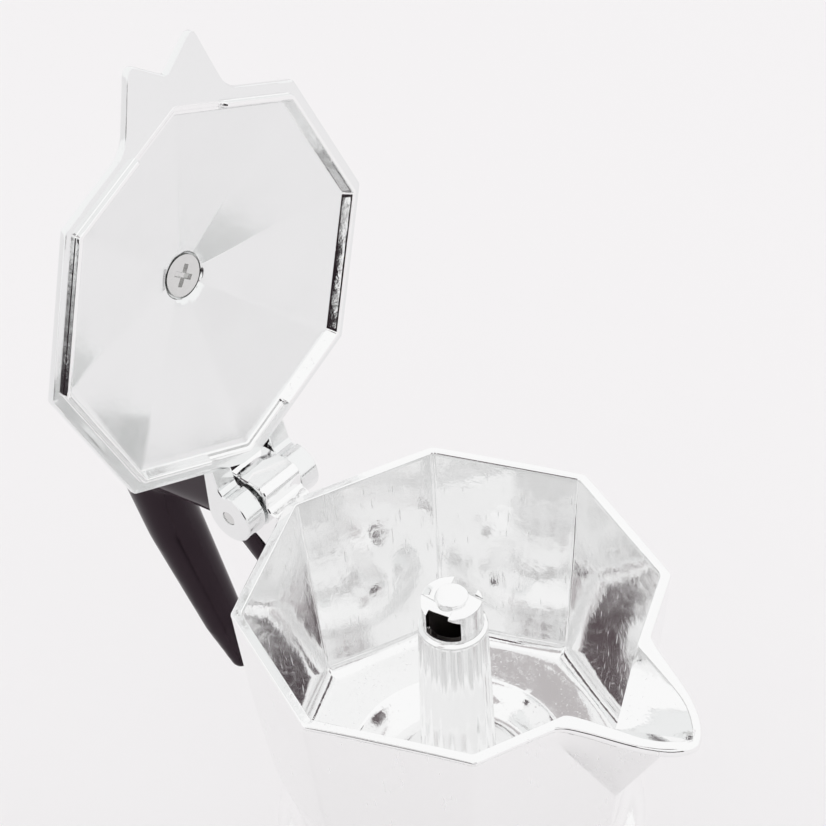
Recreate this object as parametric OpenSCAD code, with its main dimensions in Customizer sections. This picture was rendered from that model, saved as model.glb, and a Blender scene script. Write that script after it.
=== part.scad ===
// Octagonal stove-top coffee maker, three-cup size, taken apart as on a bench.
// Origin: centre of the boiler's base. +Z up, +X towards the spout, hinge and handle at -X.
// The lid is stored open; its own shape is drawn shut and then swung back about its pin.

/* [Boiler] */
// Height of the boiler from the table to its shoulder
boiler_h = 60; // [54:1:80]
// Corner radius of the boiler's octagonal base
boiler_base_r = 44; // [43:0.5:50]
// Inward lean of each flat side, in degrees
boiler_draft = 3.9; // [2:0.1:4.5]
// Thickness of the boiler's sides
boiler_wall = 2.6; // [2:0.1:3.5]
// Thickness of the boiler's floor
boiler_floor = 3; // [2:0.1:5]
// Height of the threaded neck above the shoulder
neck_h = 9; // [7:0.5:10]
// Outer radius of the threaded neck, which sets the size of the whole joint
neck_r = 32.2; // [31:0.1:33]
// Thickness of the neck's wall
neck_wall = 4.6; // [3.6:0.1:5]

/* [Joint] */
// Open gap between the boiler's shoulder and the collector's skirt
collar_gap = 0.4; // [0.3:0.1:1]
// Radial gap between the neck and the skirt's bore
thread_gap = 0.4; // [0.3:0.05:0.6]
// Thickness of the skirt round the neck
skirt_wall = 3.6; // [3:0.1:5]

/* [Seal] */
// Thickness of the ring gasket
gasket_t = 3; // [2.4:0.1:4]
// Width of the ring gasket, from its outer to its inner edge
gasket_w = 6; // [5.6:0.1:6.4]
// Radius of the filter plate
plate_r = 28.2; // [27.8:0.1:28.6]
// Thickness of the filter plate
plate_t = 0.8; // [0.5:0.1:1.2]
// Radius of one hole in the filter plate
plate_hole_r = 0.6; // [0.4:0.05:0.7]

/* [Funnel] */
// Depth of the coffee cup below its flange
cup_depth = 22; // [18:0.5:28]
// Radial gap between the cup and the bore of the neck
cup_gap = 0.7; // [0.4:0.1:1]
// Thickness of the cup's wall and flange
cup_t = 0.9; // [0.7:0.1:1.2]
// How far the cup's flange reaches over the neck's rim
flange_reach = 3.4; // [2:0.1:4]
// Outer radius of the feed tube
tube_r = 4.5; // [4.2:0.1:6]
// Wall of the feed tube
tube_wall = 0.8; // [0.6:0.1:1]
// Height of the cone between cup and tube
cone_h = 10; // [6:0.5:14]
// Distance of the tube's end from the boiler's floor
tube_foot = 6; // [4:0.5:9]
// Radius of one hole in the coffee sieve
sieve_hole_r = 0.75; // [0.5:0.05:0.8]

/* [Collector] */
// Height of the collector from its skirt to its rim
collector_h = 71.6; // [68:0.2:90]
// Depth of the collector's floor below its rim
collector_depth = 44.5; // [38:0.5:48]
// Corner radius of the rim's outer edge
rim_r = 40.1; // [39.5:0.1:41]
// Thickness of the rim across its flat sides
rim_wall = 1.95; // [1.6:0.05:2.4]
// Distance across flats at the waist
waist_flats = 63.2; // [62.8:0.2:65]
// How far the sides bulge out between waist and rim, as a share of the taper
side_bulge = 0.35; // [0.1:0.05:0.5]
// Thickness of the bowl's wall at its foot
bowl_foot_wall = 1.5; // [1.2:0.1:2.2]
// Radius of the polished dish round the column
dish_r = 20.9; // [18:0.1:23]
// Depth of the polished dish
dish_depth = 1.9; // [1:0.1:2.4]

/* [Spout] */
// How far the spout's tip stands out from the rim's corner
spout_reach = 14.5; // [12:0.5:17]
// Half width of the spout at its root
spout_half_w = 12.6; // [11:0.2:14]
// Depth at which the spout runs out on the corner below
spout_depth = 29; // [24:1:34]
// Radius of the tip in plan
spout_tip_r = 5.2; // [4.4:0.2:6]
// Droop of the tip below the rim
spout_droop = 2.4; // [1:0.2:4]
// Thickness of the spout's lip
lip_t = 2.2; // [1.8:0.1:3]
// Depth of the pouring groove where it leaves the inner corner
groove_depth = 10.8; // [8:0.2:12]

/* [Column] */
// Distance of the column's cap below the rim
column_drop = 1; // [0.6:0.1:3]
// Radius of the column at its foot
column_foot_r = 7.3; // [7:0.1:8]
// Radius of the column under the ledge
column_ledge_r = 6.5; // [6.2:0.1:6.9]
// Radius of the head above the ledge
column_head_r = 5.65; // [5.4:0.05:6]
// Height of the head above the ledge
column_head_h = 7; // [6.8:0.1:9]
// Radius of the rising channel
column_bore_r = 3.6; // [3:0.1:4]
// Width of each of the two outlet windows
window_w = 6.8; // [6:0.1:7.8]
// Height of each outlet window
window_h = 5.4; // [4.2:0.1:5.4]
// Number of flutes round the column
column_flutes = 20; // [14:1:24]

/* [Lid] */
// How far the lid's corners stand inside the rim's
lid_inset = 0.3; // [0:0.1:1]
// Thickness of the lid's flat edge
lid_t = 1.45; // [1.2:0.05:2]
// Gap between the shut lid and the rim
lid_gap = 0.3; // [0.2:0.05:0.5]
// Depth of the locating ridge under the lid
ridge_h = 1.2; // [0.8:0.1:1.8]
// Radial gap between the ridge and the inside of the rim, at the corners
ridge_gap = 0.65; // [0.4:0.05:1]
// Height of the lid's inner pyramid
dome_h = 8; // [6:0.5:12]
// Thickness of the lid's sloping panels
dome_t = 1.6; // [1.2:0.1:2]
// How far the thumb tab stands out from the lid's corner
tab_reach = 8.5; // [7:0.1:11]
// Depth of the notch between the tab's two ears
tab_notch = 4.7; // [3:0.1:6]
// Opening angle of the lid
lid_open = 97; // [90:1:100]

/* [Hinge] */
// Distance of the hinge pin outside the rim's corner
pin_out = 6.2; // [6:0.1:7]
// Distance of the hinge pin below the rim
pin_drop = 1; // [0.6:0.1:1.4]
// Radius of the hinge pin
pin_r = 1.5; // [1.2:0.1:2]
// Half width of the collector's hinge block
block_half_w = 4.8; // [4.4:0.1:5.4]
// Radius of the collector's hinge block
block_r = 6; // [5.4:0.1:6.2]
// Side gap between the hinge block and each lug
lug_gap = 0.4; // [0.3:0.05:0.6]
// Thickness of each hinge lug of the lid
lug_t = 4.7; // [3.6:0.1:5.5]
// Radius of each hinge lug of the lid
lug_r = 5.3; // [4.6:0.1:5.5]
// Radial running clearance of the hinge pin
pin_clearance = 0.05; // [0.02:0.01:0.09]

/* [Knob] */
// Height of the knob
knob_h = 17; // [14:0.5:22]
// Corner radius of the knob at its widest
knob_r = 10.5; // [9:0.5:12.5]
// Corner radius of the knob's foot
knob_foot_r = 6.6; // [6:0.2:8]
// Radius of the brass insert
insert_r = 3.2; // [2.8:0.1:3.6]
// Radius of the screw's head
screw_head_r = 4.1; // [3.8:0.1:4.4]
// Radius of the screw's shank
screw_r = 1.95; // [1.7:0.05:2.2]

/* [Handle] */
// Half width of the handle's grip
grip_half_w = 6.3; // [5:0.1:8]
// How far the handle stands out behind the hinge pin
handle_reach = 40.6; // [36:0.2:46]
// Depth of the grip's tip below the rim
handle_drop = 60; // [48:1:66]
// Half thickness of the cast tang inside the handle
tang_half_t = 2.4; // [2:0.1:3]
// Radius of the handle's cross pin
handle_pin_r = 1.6; // [1.3:0.1:2]

/* [Safety valve] */
// Height of the valve's centre above the table
valve_z = 34; // [28:1:40]
// Distance across the flats of the valve's hexagon
valve_flats = 13; // [12:0.5:14]
// Radius of the valve's threaded shank
valve_shank_r = 5; // [4.6:0.1:5.4]
// Thickness of the valve's hexagon
valve_hex_t = 6; // [5:0.2:7]
// Radius of the valve's stem
stem_r = 1.15; // [1:0.05:1.3]
// Travel of the valve's stem
stem_travel = 1.5; // [1:0.1:2]
// Number of turns of the valve's spring
spring_turns = 5; // [4:1:7]

/* [Hidden] */
$fn = 64;

// Overshoot of a cut past the face it opens
cut = 1;
// Flats of the octagon stand half a side away from the corners
half_side = 22.5;
flat_share = cos(half_side);

// Heights of the stack, from the table up
neck_top = boiler_h + neck_h;
flange_top = neck_top + cup_t;
seat_z = flange_top + gasket_t;
skirt_z = boiler_h + collar_gap;
rim_z = skirt_z + collector_h;
floor_z = rim_z - collector_depth;

// Radii of the joint, from the bore out
neck_bore = neck_r - neck_wall;
cup_r = neck_bore - cup_gap;
skirt_bore = neck_r + thread_gap;
collar_r = skirt_bore + skirt_wall;
gasket_r = neck_r - 0.2;
gasket_bore = gasket_r - gasket_w;

// Boiler: flats lean in from the base
boiler_flat = boiler_base_r * flat_share;
boiler_lean = tan(boiler_draft);
collar_h = 6;
cove_h = 12;
function boiler_side(z) = boiler_flat - boiler_lean * z;

// Collector: sides rise from the waist to the rim with a slight bulge
waist_z = floor_z - 7.6;
waist_r = waist_flats / 2 - 0.2;
cove_z = seat_z - 1;
rim_flat = rim_r * flat_share;
rim_inner_flat = rim_flat - rim_wall;
rim_inner_r = rim_inner_flat / flat_share;
// Where the spout's sides start, a little inside the rim's outer edge
spout_root_x = rim_r - spout_half_w * tan(half_side) - 0.6;
side_steps = 8;
function side_share(t) = t + side_bulge * t * (1 - t);
function collector_side(t) = waist_flats / 2 + (rim_flat - waist_flats / 2) * side_share(t);
function collector_corner(z) = collector_side((z - waist_z) / (rim_z - waist_z)) / flat_share;
bowl_foot_z = floor_z + 1.6;
bowl_foot_flat = collector_side((bowl_foot_z - waist_z) / (rim_z - waist_z)) - bowl_foot_wall;
function inner_side(z) =
    rim_inner_flat - (rim_inner_flat - bowl_foot_flat) * (rim_z - z) / (rim_z - bowl_foot_z);
annulus_r = bowl_foot_flat - 2.55;

// Column
column_top = rim_z - column_drop;
ledge_z = column_top - column_head_h;
column_spigot_r = 5.6;
column_spigot_z = floor_z - 5.2;
column_cap_t = 1.4;
window_turn = -71;
bar_half_w = 4;
column_boss_r = 3;
column_boss_h = 0.6;

// Hinge
pin_x = -(rim_r + pin_out);
pin_z = rim_z - pin_drop;
lug_in = block_half_w + lug_gap;
lug_out = lug_in + lug_t;
pin_half_l = lug_out - 0.2;

// Lid, drawn shut
lid_r = rim_r - lid_inset;
lid_z = rim_z + lid_gap;
lid_top = lid_z + lid_t;
ridge_r = rim_inner_r - ridge_gap;
ridge_w = 0.75;
dome_r = ridge_r - 2.05;
dome_z = lid_z + 0.9;
dome_slope = dome_h / dome_r;
apex_z = dome_z + dome_h;
screw_seat_z = apex_z + 1;
boss_z = screw_seat_z + 1.2;
boss_r = 7.6;
screw_head_t = 1.9;
insert_h = 9.5;
screw_l = 9;

// Safety valve, measured along its own axis from the boiler's axis
valve_turn = -67.5;
valve_boss_r = 8.4;
valve_face = boiler_side(valve_z) + 1.4;
washer_t = 1;
hex_face = valve_face + washer_t;
valve_out = hex_face + valve_hex_t;
valve_in = boiler_side(valve_z) - boiler_wall - 1.9;
chamber_r = 3.3;
seat_t = 2.2;
seat_face = valve_in + seat_t;
seal_t = 0.6;
plug_t = 1.5;
plug_r = 2.8;
plug_face = seat_face + seal_t + plug_t;
cap_in = valve_out - 1.8;
cap_out = valve_out + 1.2;
stem_out = cap_out + stem_travel + 0.9;
spring_wire_r = 0.35;
spring_r = 2.3;

// Handle, as points behind the pin and below the rim: x, z, radius in the side view, half width
handle_fit = 0.15;
block_back = pin_x - 4;
handle_back = pin_x - handle_reach;
nose = [pin_x - 9.3, rim_z + 1.4, 5, block_half_w];
knee = [handle_back + 7.4, rim_z - 2.6, 4.6, 0.85 * grip_half_w];
elbow = [handle_back + 6.3, rim_z - 9.5, 6.3, grip_half_w];
throat = [handle_back + 16.9, rim_z - 7.5, 3.8, 0.8 * grip_half_w];
heel = [pin_x - 7.5, rim_z - 6, 6, block_half_w];
toe = [pin_x + 1, rim_z - 17.5, 2.4, 0.8 * block_half_w];
grip = [handle_back + 12.9, rim_z - 0.425 * handle_drop, 5.2, 0.97 * grip_half_w];
low = [pin_x - 16.2, rim_z - 0.79 * handle_drop, 3.7, 0.73 * grip_half_w];
tip = [pin_x - 12.4, rim_z - handle_drop + 2.1, 2.1, 0.45 * grip_half_w];
handle_pin_x = pin_x - 6.6;
handle_pin_z = rim_z - 8.6;

// A straight-sided solid with eight flats, from a half profile of [distance to flat, height]
module eight_flats(half) {
    outline = concat(half, [for (i = [len(half) - 1 : -1 : 0]) [-half[i][0], half[i][1]]]);
    intersection_for (a = [0 : 45 : 135])
        rotate([90, 0, half_side + a])
            linear_extrude(4 * boiler_base_r, center = true)
                polygon(outline);
}

// A solid of revolution from a profile of [radius, height]
module turned(profile) {
    rotate_extrude() polygon(profile);
}

// A flat octagonal ring or disc with its corners on the axes
module octagon(r) {
    circle(r, $fn = 8);
}

// Holes in rings of six, twelve, eighteen and so on round one centre hole
module hole_rings(rings, pitch, r) {
    circle(r, $fn = 16);
    for (ring = [1 : rings], i = [0 : 6 * ring - 1])
        rotate(60 * i / ring) translate([ring * pitch, 0]) circle(r, $fn = 16);
}

// Puts a shape drawn along +Z onto the valve's axis, which runs out from the boiler's axis
module on_valve_axis() {
    translate([0, 0, valve_z]) rotate([0, 90, valve_turn]) children();
}

// A cylinder between two distances along the valve's axis
module valve_part(from, to, r) {
    translate([0, 0, from]) cylinder(to - from, r = r);
}

// Round form that turns the octagon into the collar, drawn in by the wall for the inside
module boiler_round(wall, bottom, top) {
    widest = boiler_base_r + cut;
    cove_w = widest - collar_r;
    cove_top = boiler_h - collar_h;
    turned(concat([[0, bottom], [widest - wall / 2, bottom]],
        [for (a = [0 : 15 : 90])
            [collar_r + cove_w * (1 - sin(a)) - wall * sin(a), cove_top - (cove_h + wall) * cos(a)]],
        [[collar_r - wall, top], [0, top]]));
}

module boiler_outside() {
    intersection() {
        eight_flats([[boiler_flat, 0], [boiler_side(boiler_h), boiler_h]]);
        boiler_round(0, 0, boiler_h);
    }
    cylinder(neck_top, r = neck_r);
    on_valve_axis() valve_part(valve_face - boiler_wall, valve_face, valve_boss_r);
}

module boiler_inside() {
    roof_z = boiler_h - boiler_wall;
    intersection() {
        eight_flats([[boiler_side(boiler_floor) - boiler_wall, boiler_floor],
                     [boiler_side(boiler_h) - boiler_wall, boiler_h]]);
        boiler_round(boiler_wall, boiler_floor, roof_z);
    }
    translate([0, 0, roof_z - cut]) cylinder(neck_h + boiler_wall + 2 * cut, r = neck_bore);
}

module boiler() {
    color("silver")
    difference() {
        boiler_outside();
        boiler_inside();
        on_valve_axis() valve_part(valve_in - cut, valve_face + cut, valve_shank_r);
    }
}

module safety_valve_washer() {
    color("peru")
    on_valve_axis() difference() {
        valve_part(valve_face, hex_face, valve_flats / 2);
        valve_part(valve_face - cut, hex_face + cut, valve_shank_r + 0.1);
    }
}

module safety_valve_body() {
    color("darkkhaki")
    on_valve_axis() difference() {
        union() {
            valve_part(valve_in, hex_face + cut, valve_shank_r);
            intersection() {
                translate([0, 0, hex_face])
                    cylinder(valve_hex_t, d = valve_flats / cos(30), $fn = 6);
                valve_part(hex_face, valve_out, 0.545 * valve_flats);
            }
        }
        valve_part(seat_face, valve_out + cut, chamber_r);
        valve_part(valve_in - cut, valve_out, 1.6);
    }
}

module safety_valve_cap() {
    color("goldenrod")
    on_valve_axis() difference() {
        union() {
            valve_part(cap_in, valve_out, chamber_r);
            valve_part(valve_out, cap_out, chamber_r + 1);
        }
        valve_part(cap_in - cut, cap_out + cut, stem_r + 0.07);
    }
}

module safety_valve_spring() {
    sides = 6;
    steps = 14 * spring_turns;
    length = cap_in - plug_face - 2 * spring_wire_r;
    ring = [for (i = [0 : steps], k = [0 : sides - 1])
        let (a = 360 * spring_turns * i / steps, b = 360 * k / sides,
             r = spring_r + spring_wire_r * cos(b))
        [r * cos(a), r * sin(a),
         plug_face + spring_wire_r * (1 + sin(b)) + length * i / steps]];
    sleeve = [for (i = [0 : steps - 1], k = [0 : sides - 1])
        let (n = (k + 1) % sides)
        [i * sides + k, (i + 1) * sides + k, (i + 1) * sides + n, i * sides + n]];
    first = [for (k = [0 : sides - 1]) k];
    last = [for (k = [sides - 1 : -1 : 0]) steps * sides + k];
    color("lightsteelblue")
    on_valve_axis() polyhedron(ring, concat(sleeve, [first, last]));
}

module safety_valve_stem() {
    color("gainsboro")
    on_valve_axis() {
        valve_part(seat_face + seal_t, plug_face, plug_r);
        valve_part(plug_face, stem_out - 0.5, stem_r);
        translate([0, 0, stem_out - 0.5]) cylinder(0.5, r1 = stem_r, r2 = stem_r - 0.4);
    }
}

module safety_valve_seal() {
    color("dimgray")
    on_valve_axis() valve_part(seat_face, seat_face + seal_t, plug_r);
}

// The cup hangs by its flange on the neck and ends in a ledge for the sieve
cup_z = flange_top - cup_depth;
ledge_r = cup_r - 3.2;

module funnel_cup() {
    inside = cup_r - cup_t;
    color("lightgray")
    turned([[ledge_r, cup_z], [cup_r, cup_z], [cup_r, neck_top], [neck_bore + flange_reach, neck_top],
            [neck_bore + flange_reach, flange_top], [inside, flange_top], [inside, cup_z + cup_t],
            [ledge_r, cup_z + cup_t]]);
}

module funnel_sieve() {
    sieve_t = 0.8;
    pitch = (ledge_r - 2) / 7;
    color("whitesmoke")
    translate([0, 0, cup_z + cup_t]) linear_extrude(sieve_t) difference() {
        circle(cup_r - cup_t - 0.1);
        hole_rings(7, pitch, sieve_hole_r);
    }
}

module funnel_tube() {
    tube_z = boiler_floor + tube_foot;
    cone_z = cup_z - cup_t;
    tube_top = cone_z - cone_h;
    bore = tube_r - tube_wall;
    color("lightgray")
    turned([[bore, tube_z], [tube_r, tube_z], [tube_r, tube_top], [ledge_r, cone_z - 0.4],
            [cup_r, cone_z - 0.4], [cup_r, cup_z], [ledge_r, cup_z], [bore, tube_top + 1]]);
}

module gasket() {
    step_r = plate_r + 0.15;
    color("ivory")
    turned([[gasket_bore, flange_top], [gasket_r, flange_top], [gasket_r, seat_z], [step_r, seat_z],
            [step_r, seat_z - plate_t], [gasket_bore, seat_z - plate_t]]);
}

module filter_plate() {
    pitch = (gasket_bore - 1.4) / 8;
    color("gainsboro")
    translate([0, 0, seat_z - plate_t]) linear_extrude(plate_t) difference() {
        circle(plate_r);
        hole_rings(8, pitch, plate_hole_r);
    }
}

// Outer form of the collector: octagonal above the waist, round at the collar
module collector_outside() {
    span = rim_z - waist_z;
    wide = collar_r + cut;
    flats = concat([[wide, skirt_z], [wide, (waist_z + cove_z) / 2]],
        [for (i = [0 : side_steps])
            [collector_side(i / side_steps), waist_z + span * i / side_steps]]);
    bowl_h = 10;
    bowl_w = rim_r + 2 * cut - waist_r;
    intersection() {
        eight_flats(flats);
        turned(concat(
            [[0, skirt_z], [collar_r, skirt_z]],
            [for (a = [0 : 15 : 90])
                [waist_r + (collar_r - waist_r) * (1 - sin(a) * sin(a)),
                 cove_z + (waist_z - cove_z) * a / 90]],
            [for (a = [15 : 15 : 90])
                [waist_r + bowl_w * (1 - cos(a)), waist_z + bowl_h * sin(a)]],
            [[waist_r + bowl_w, rim_z], [0, rim_z]]));
    }
}

// Octagonal pouring space with a round floor, a dish and a rounded edge
module collector_inside() {
    eight_flats([[annulus_r, floor_z], [bowl_foot_flat, bowl_foot_z],
                 [inner_side(rim_z + cut), rim_z + cut]]);
    foot_r = column_foot_r + 0.4;
    mid_r = (dish_r + foot_r) / 2;
    turned([[0, floor_z + cut], [annulus_r, floor_z + cut], [annulus_r, floor_z], [dish_r, floor_z - 0.6],
            [mid_r + 2, floor_z - dish_depth - 0.5], [mid_r - 2, floor_z - dish_depth - 0.5],
            [foot_r, floor_z - 0.8], [0, floor_z - 0.8]]);
}

// Bore for the neck, seat for gasket and plate, and the dome that gathers the coffee
module collector_underside() {
    gather_r = plate_r - 1;
    turned([[0, skirt_z - cut], [skirt_bore, skirt_z - cut], [skirt_bore, seat_z], [gather_r, seat_z],
            [gather_r, seat_z + 2], [gather_r - 3.6, floor_z - 6.6], [column_spigot_r - 1, floor_z - 5.2],
            [0, floor_z - 5.2]]);
    cylinder(floor_z, r = column_spigot_r);
}

// Plan of the spout's lip at full size, or drawn in by a margin
module beak(margin) {
    root_x = spout_root_x;
    tip_x = rim_r + spout_reach - spout_tip_r;
    hull() {
        translate([tip_x, 0]) circle(spout_tip_r - margin, $fn = 32);
        translate([root_x + 8, 0]) square([0.02, 2 * (spout_half_w - margin) - 6.8], center = true);
        translate([root_x - margin / 2, 0]) square([0.02, 2 * (spout_half_w - margin)], center = true);
    }
}

// Lays a flat shape into the drooping plane of the lip
module in_lip_plane() {
    root_x = spout_root_x;
    slope = atan(spout_droop / (rim_r + spout_reach - root_x));
    translate([root_x, 0, rim_z - 0.12]) rotate([0, slope, 0]) translate([-root_x, 0, 0]) children();
}

module spout_outside() {
    under = lip_t + 1.4;
    in_lip_plane() hull() {
        translate([0, 0, -lip_t * 0.45]) linear_extrude(lip_t * 0.45) beak(0);
        translate([0, 0, -lip_t]) linear_extrude(0.02) beak(0.7);
    }
    hull() {
        in_lip_plane() translate([0, 0, -under]) linear_extrude(under - 0.4) beak(2.2);
        translate([collector_corner(rim_z - spout_depth) - 0.6, 0, rim_z - spout_depth])
            cylinder(0.5, r = 0.5, $fn = 8);
    }
}

module spout_groove() {
    groove_x = rim_inner_r - 0.8;
    tip_x = rim_r + spout_reach - 3.4;
    tip_z = rim_z - spout_droop - 0.3;
    hull() {
        in_lip_plane() translate([0, 0, -0.02]) linear_extrude(3) beak(2);
        translate([groove_x, 0, rim_z - groove_depth + 1]) sphere(1, $fn = 16);
        translate([tip_x - 1, 0, tip_z]) sphere(0.8, $fn = 16);
        translate([groove_x - 5, 0, rim_z - groove_depth + 3]) sphere(1, $fn = 16);
    }
}

// Hinge block in side view: round about the pin, flat on top, cut straight at the back
module hinge_block() {
    top_z = pin_z + block_r;
    reach = rim_inner_r + 0.6;
    difference() {
        translate([0, block_half_w, 0]) rotate([90, 0, 0]) linear_extrude(2 * block_half_w) difference() {
            union() {
                translate([pin_x, pin_z]) circle(block_r);
                polygon([[-reach, rim_z - 0.2], [-rim_r - 0.6, rim_z + 0.6], [pin_x + 4, top_z - 0.5],
                         [pin_x + 3.2, top_z], [pin_x - 4, top_z], [pin_x - 4, pin_z - block_r],
                         [-reach, pin_z - 12]]);
            }
            translate([block_back - 20, rim_z - 40]) square([20, 80]);
        }
        translate([pin_x, 0, pin_z]) rotate([90, 0, 0])
            cylinder(4 * block_half_w, r = pin_r + pin_clearance, center = true);
    }
}

// Side view of the tang that reaches into the handle
module tang_outline(fit) {
    reach = rim_inner_r + 0.6;
    tail = handle_pin_x - 3.6 - fit;
    polygon([[-reach, handle_pin_z + 3.4 + fit], [tail, handle_pin_z + 3.4 + fit],
             [tail, handle_pin_z - 1 - fit], [handle_pin_x + 1 - fit, handle_pin_z - 3.6 - fit],
             [-reach, handle_pin_z - 6 - fit]]);
}

module tang() {
    translate([0, tang_half_t, 0]) rotate([90, 0, 0]) linear_extrude(2 * tang_half_t) tang_outline(0);
}

module handle_pin_bore(r) {
    translate([handle_pin_x, 0, handle_pin_z]) rotate([90, 0, 0])
        cylinder(8 * tang_half_t, r = r, center = true);
}

module collector() {
    color("silver")
    difference() {
        union() {
            difference() {
                union() {
                    collector_outside();
                    spout_outside();
                }
                collector_inside();
                spout_groove();
            }
            hinge_block();
            difference() {
                tang();
                handle_pin_bore(handle_pin_r + 0.05);
            }
        }
        collector_underside();
    }
}

// Fluted lower length of the column
module column_shaft() {
    flute = 0.25;
    shaft_h = ledge_z - floor_z + 0.8;
    points = 2 * column_flutes;
    translate([0, 0, floor_z - 0.8])
        linear_extrude(shaft_h, scale = column_ledge_r / column_foot_r)
            polygon([for (i = [0 : points - 1])
                (column_foot_r - flute * (i % 2)) * [cos(360 * i / points), sin(360 * i / points)]]);
}

module column() {
    bore_top = column_top - column_cap_t;
    window_z = bore_top - window_h + 0.2;
    core_h = ledge_z - column_spigot_z - cut;
    color("gainsboro")
    difference() {
        union() {
            column_shaft();
            translate([0, 0, column_spigot_z]) cylinder(core_h, r = column_spigot_r);
            translate([0, 0, ledge_z - 1]) cylinder(column_head_h + 1, r = column_head_r);
            translate([0, 0, column_top]) cylinder(column_boss_h, r = column_boss_r);
        }
        translate([0, 0, column_spigot_z - cut])
            cylinder(bore_top - column_spigot_z + cut, r = column_bore_r);
        rotate(window_turn) {
            translate([-column_foot_r, -window_w / 2, window_z])
                cube([2 * column_foot_r, window_w, window_h]);
            for (side = [-1, 1])
                translate([side * (bar_half_w + 5), 0, column_top])
                    cube([10, 3 * column_head_r, 2 * column_cap_t], center = true);
        }
    }
}

// One stretch of the handle, drawn tight round some of its points
module handle_stretch(points) {
    hull()
        for (p = points)
            translate([p[0], 0, p[1]]) scale([1, p[3] / p[2], 1]) sphere(p[2], $fn = 32);
}

// Room for the hinge block and the bowl's side, which the handle is fitted round
module handle_seat() {
    seat_w = 4 * grip_half_w;
    wall_x = -collector_corner(rim_z - 8) - 0.8;
    rotate([90, 0, 0]) linear_extrude(seat_w, center = true)
        polygon([[0, rim_z - handle_drop], [wall_x, rim_z - handle_drop],
                 [wall_x, pin_z - block_r - handle_fit],
                 [block_back - handle_fit, pin_z - block_r - handle_fit],
                 [block_back - handle_fit, rim_z + 3 * block_r], [0, rim_z + 3 * block_r]]);
}

module handle() {
    color("black")
    difference() {
        union() {
            handle_stretch([nose, knee, elbow, throat, heel]);
            handle_stretch([elbow, grip]);
            handle_stretch([grip, low]);
            handle_stretch([low, tip]);
            handle_stretch([heel, toe]);
        }
        handle_seat();
        translate([0, tang_half_t + handle_fit, 0]) rotate([90, 0, 0])
            linear_extrude(2 * (tang_half_t + handle_fit)) tang_outline(handle_fit);
        handle_pin_bore(handle_pin_r);
    }
}

module handle_pin() {
    color("lightsteelblue")
    translate([handle_pin_x, 0, handle_pin_z]) rotate([90, 0, 0])
        cylinder(2 * (block_half_w - 0.4), r = handle_pin_r, center = true);
}

// Swings what is drawn shut back about the hinge pin to where it is stored
module swung_open() {
    translate([pin_x, 0, pin_z]) rotate([0, -lid_open, 0]) translate([-pin_x, 0, -pin_z]) children();
}

// Thumb tab in plan: two rounded ears with a sharp notch between them, tangent to both
module tab_outline() {
    root_x = lid_r - 4.1;
    root_w = 12.5;
    fillet = 1.4;
    ear_r = 1.4;
    ear_x = lid_r + tab_reach - ear_r;
    ear_y = 6.9;
    notch_x = lid_r + tab_reach - tab_notch;
    notch_l = tab_notch + cut;
    half_notch = atan2(ear_y, ear_x - notch_x) - asin(ear_r / norm([ear_x - notch_x, ear_y]));
    difference() {
        hull() {
            translate([root_x - 2, -root_w]) square([2, 2 * root_w]);
            for (side = [-1, 1]) translate([ear_x, side * ear_y]) circle(ear_r);
        }
        translate([notch_x, 0])
            polygon([[0, 0], [notch_l, notch_l * tan(half_notch)], [notch_l, -notch_l * tan(half_notch)]]);
    }
    polygon([[root_x - 6, -root_w - fillet], [root_x - fillet, -root_w - fillet], [root_x, -root_w],
             [root_x, root_w], [root_x - fillet, root_w + fillet], [root_x - 6, root_w + fillet]]);
}

module lid_lugs() {
    for (side = [-1, 1])
        translate([0, side * (lug_in + lug_t / 2), 0]) rotate([90, 0, 0])
            linear_extrude(lug_t, center = true) {
                translate([pin_x, pin_z]) circle(lug_r);
                polygon([[pin_x, pin_z + lug_r], [-lid_r + 8, lid_top + 1.1], [-lid_r + 8, lid_z + 0.4],
                         [-lid_r + 2.5, lid_z], [pin_x + 4.5, lid_z], [pin_x, pin_z]]);
            }
}

module lid_shut() {
    ridge_in = ridge_r - ridge_w;
    slope_out = dome_h + dome_t - 0.75;
    difference() {
        union() {
            translate([0, 0, lid_z]) linear_extrude(lid_t) {
                octagon(lid_r);
                tab_outline();
            }
            translate([0, 0, lid_z - ridge_h]) linear_extrude(ridge_h + 0.2) intersection() {
                octagon(ridge_r);
                square([2 * (ridge_r - 4.4), 4 * ridge_r], center = true);
            }
            translate([0, 0, lid_top]) cylinder(slope_out, r1 = lid_r - 1.6, r2 = 2, $fn = 8);
            translate([0, 0, lid_top + 2]) cylinder(boss_z - lid_top - 2, r = boss_r);
            lid_lugs();
        }
        translate([0, 0, lid_z - ridge_h - cut])
            cylinder(dome_z - lid_z + ridge_h + cut, r1 = ridge_in, r2 = dome_r, $fn = 8);
        translate([0, 0, dome_z - 0.01]) cylinder(dome_h, r1 = dome_r, r2 = 0.01, $fn = 8);
        translate([pin_x - 20, -lug_in, lid_z - 10]) cube([20 + pin_out + 1.5, 2 * lug_in, 30]);
        translate([0, 0, lid_z]) cylinder(boss_z, r = screw_r + 0.3);
        translate([0, 0, lid_z]) cylinder(screw_seat_z - lid_z, r = screw_head_r + 0.35);
        translate([pin_x, 0, pin_z]) rotate([90, 0, 0]) cylinder(4 * lug_out, r = pin_r, center = true);
    }
}

module lid() {
    color("silver") swung_open() lid_shut();
}

module hinge_pin() {
    color("lightsteelblue")
    translate([pin_x, 0, pin_z]) rotate([90, 0, 0]) cylinder(2 * pin_half_l, r = pin_r, center = true);
}

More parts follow.
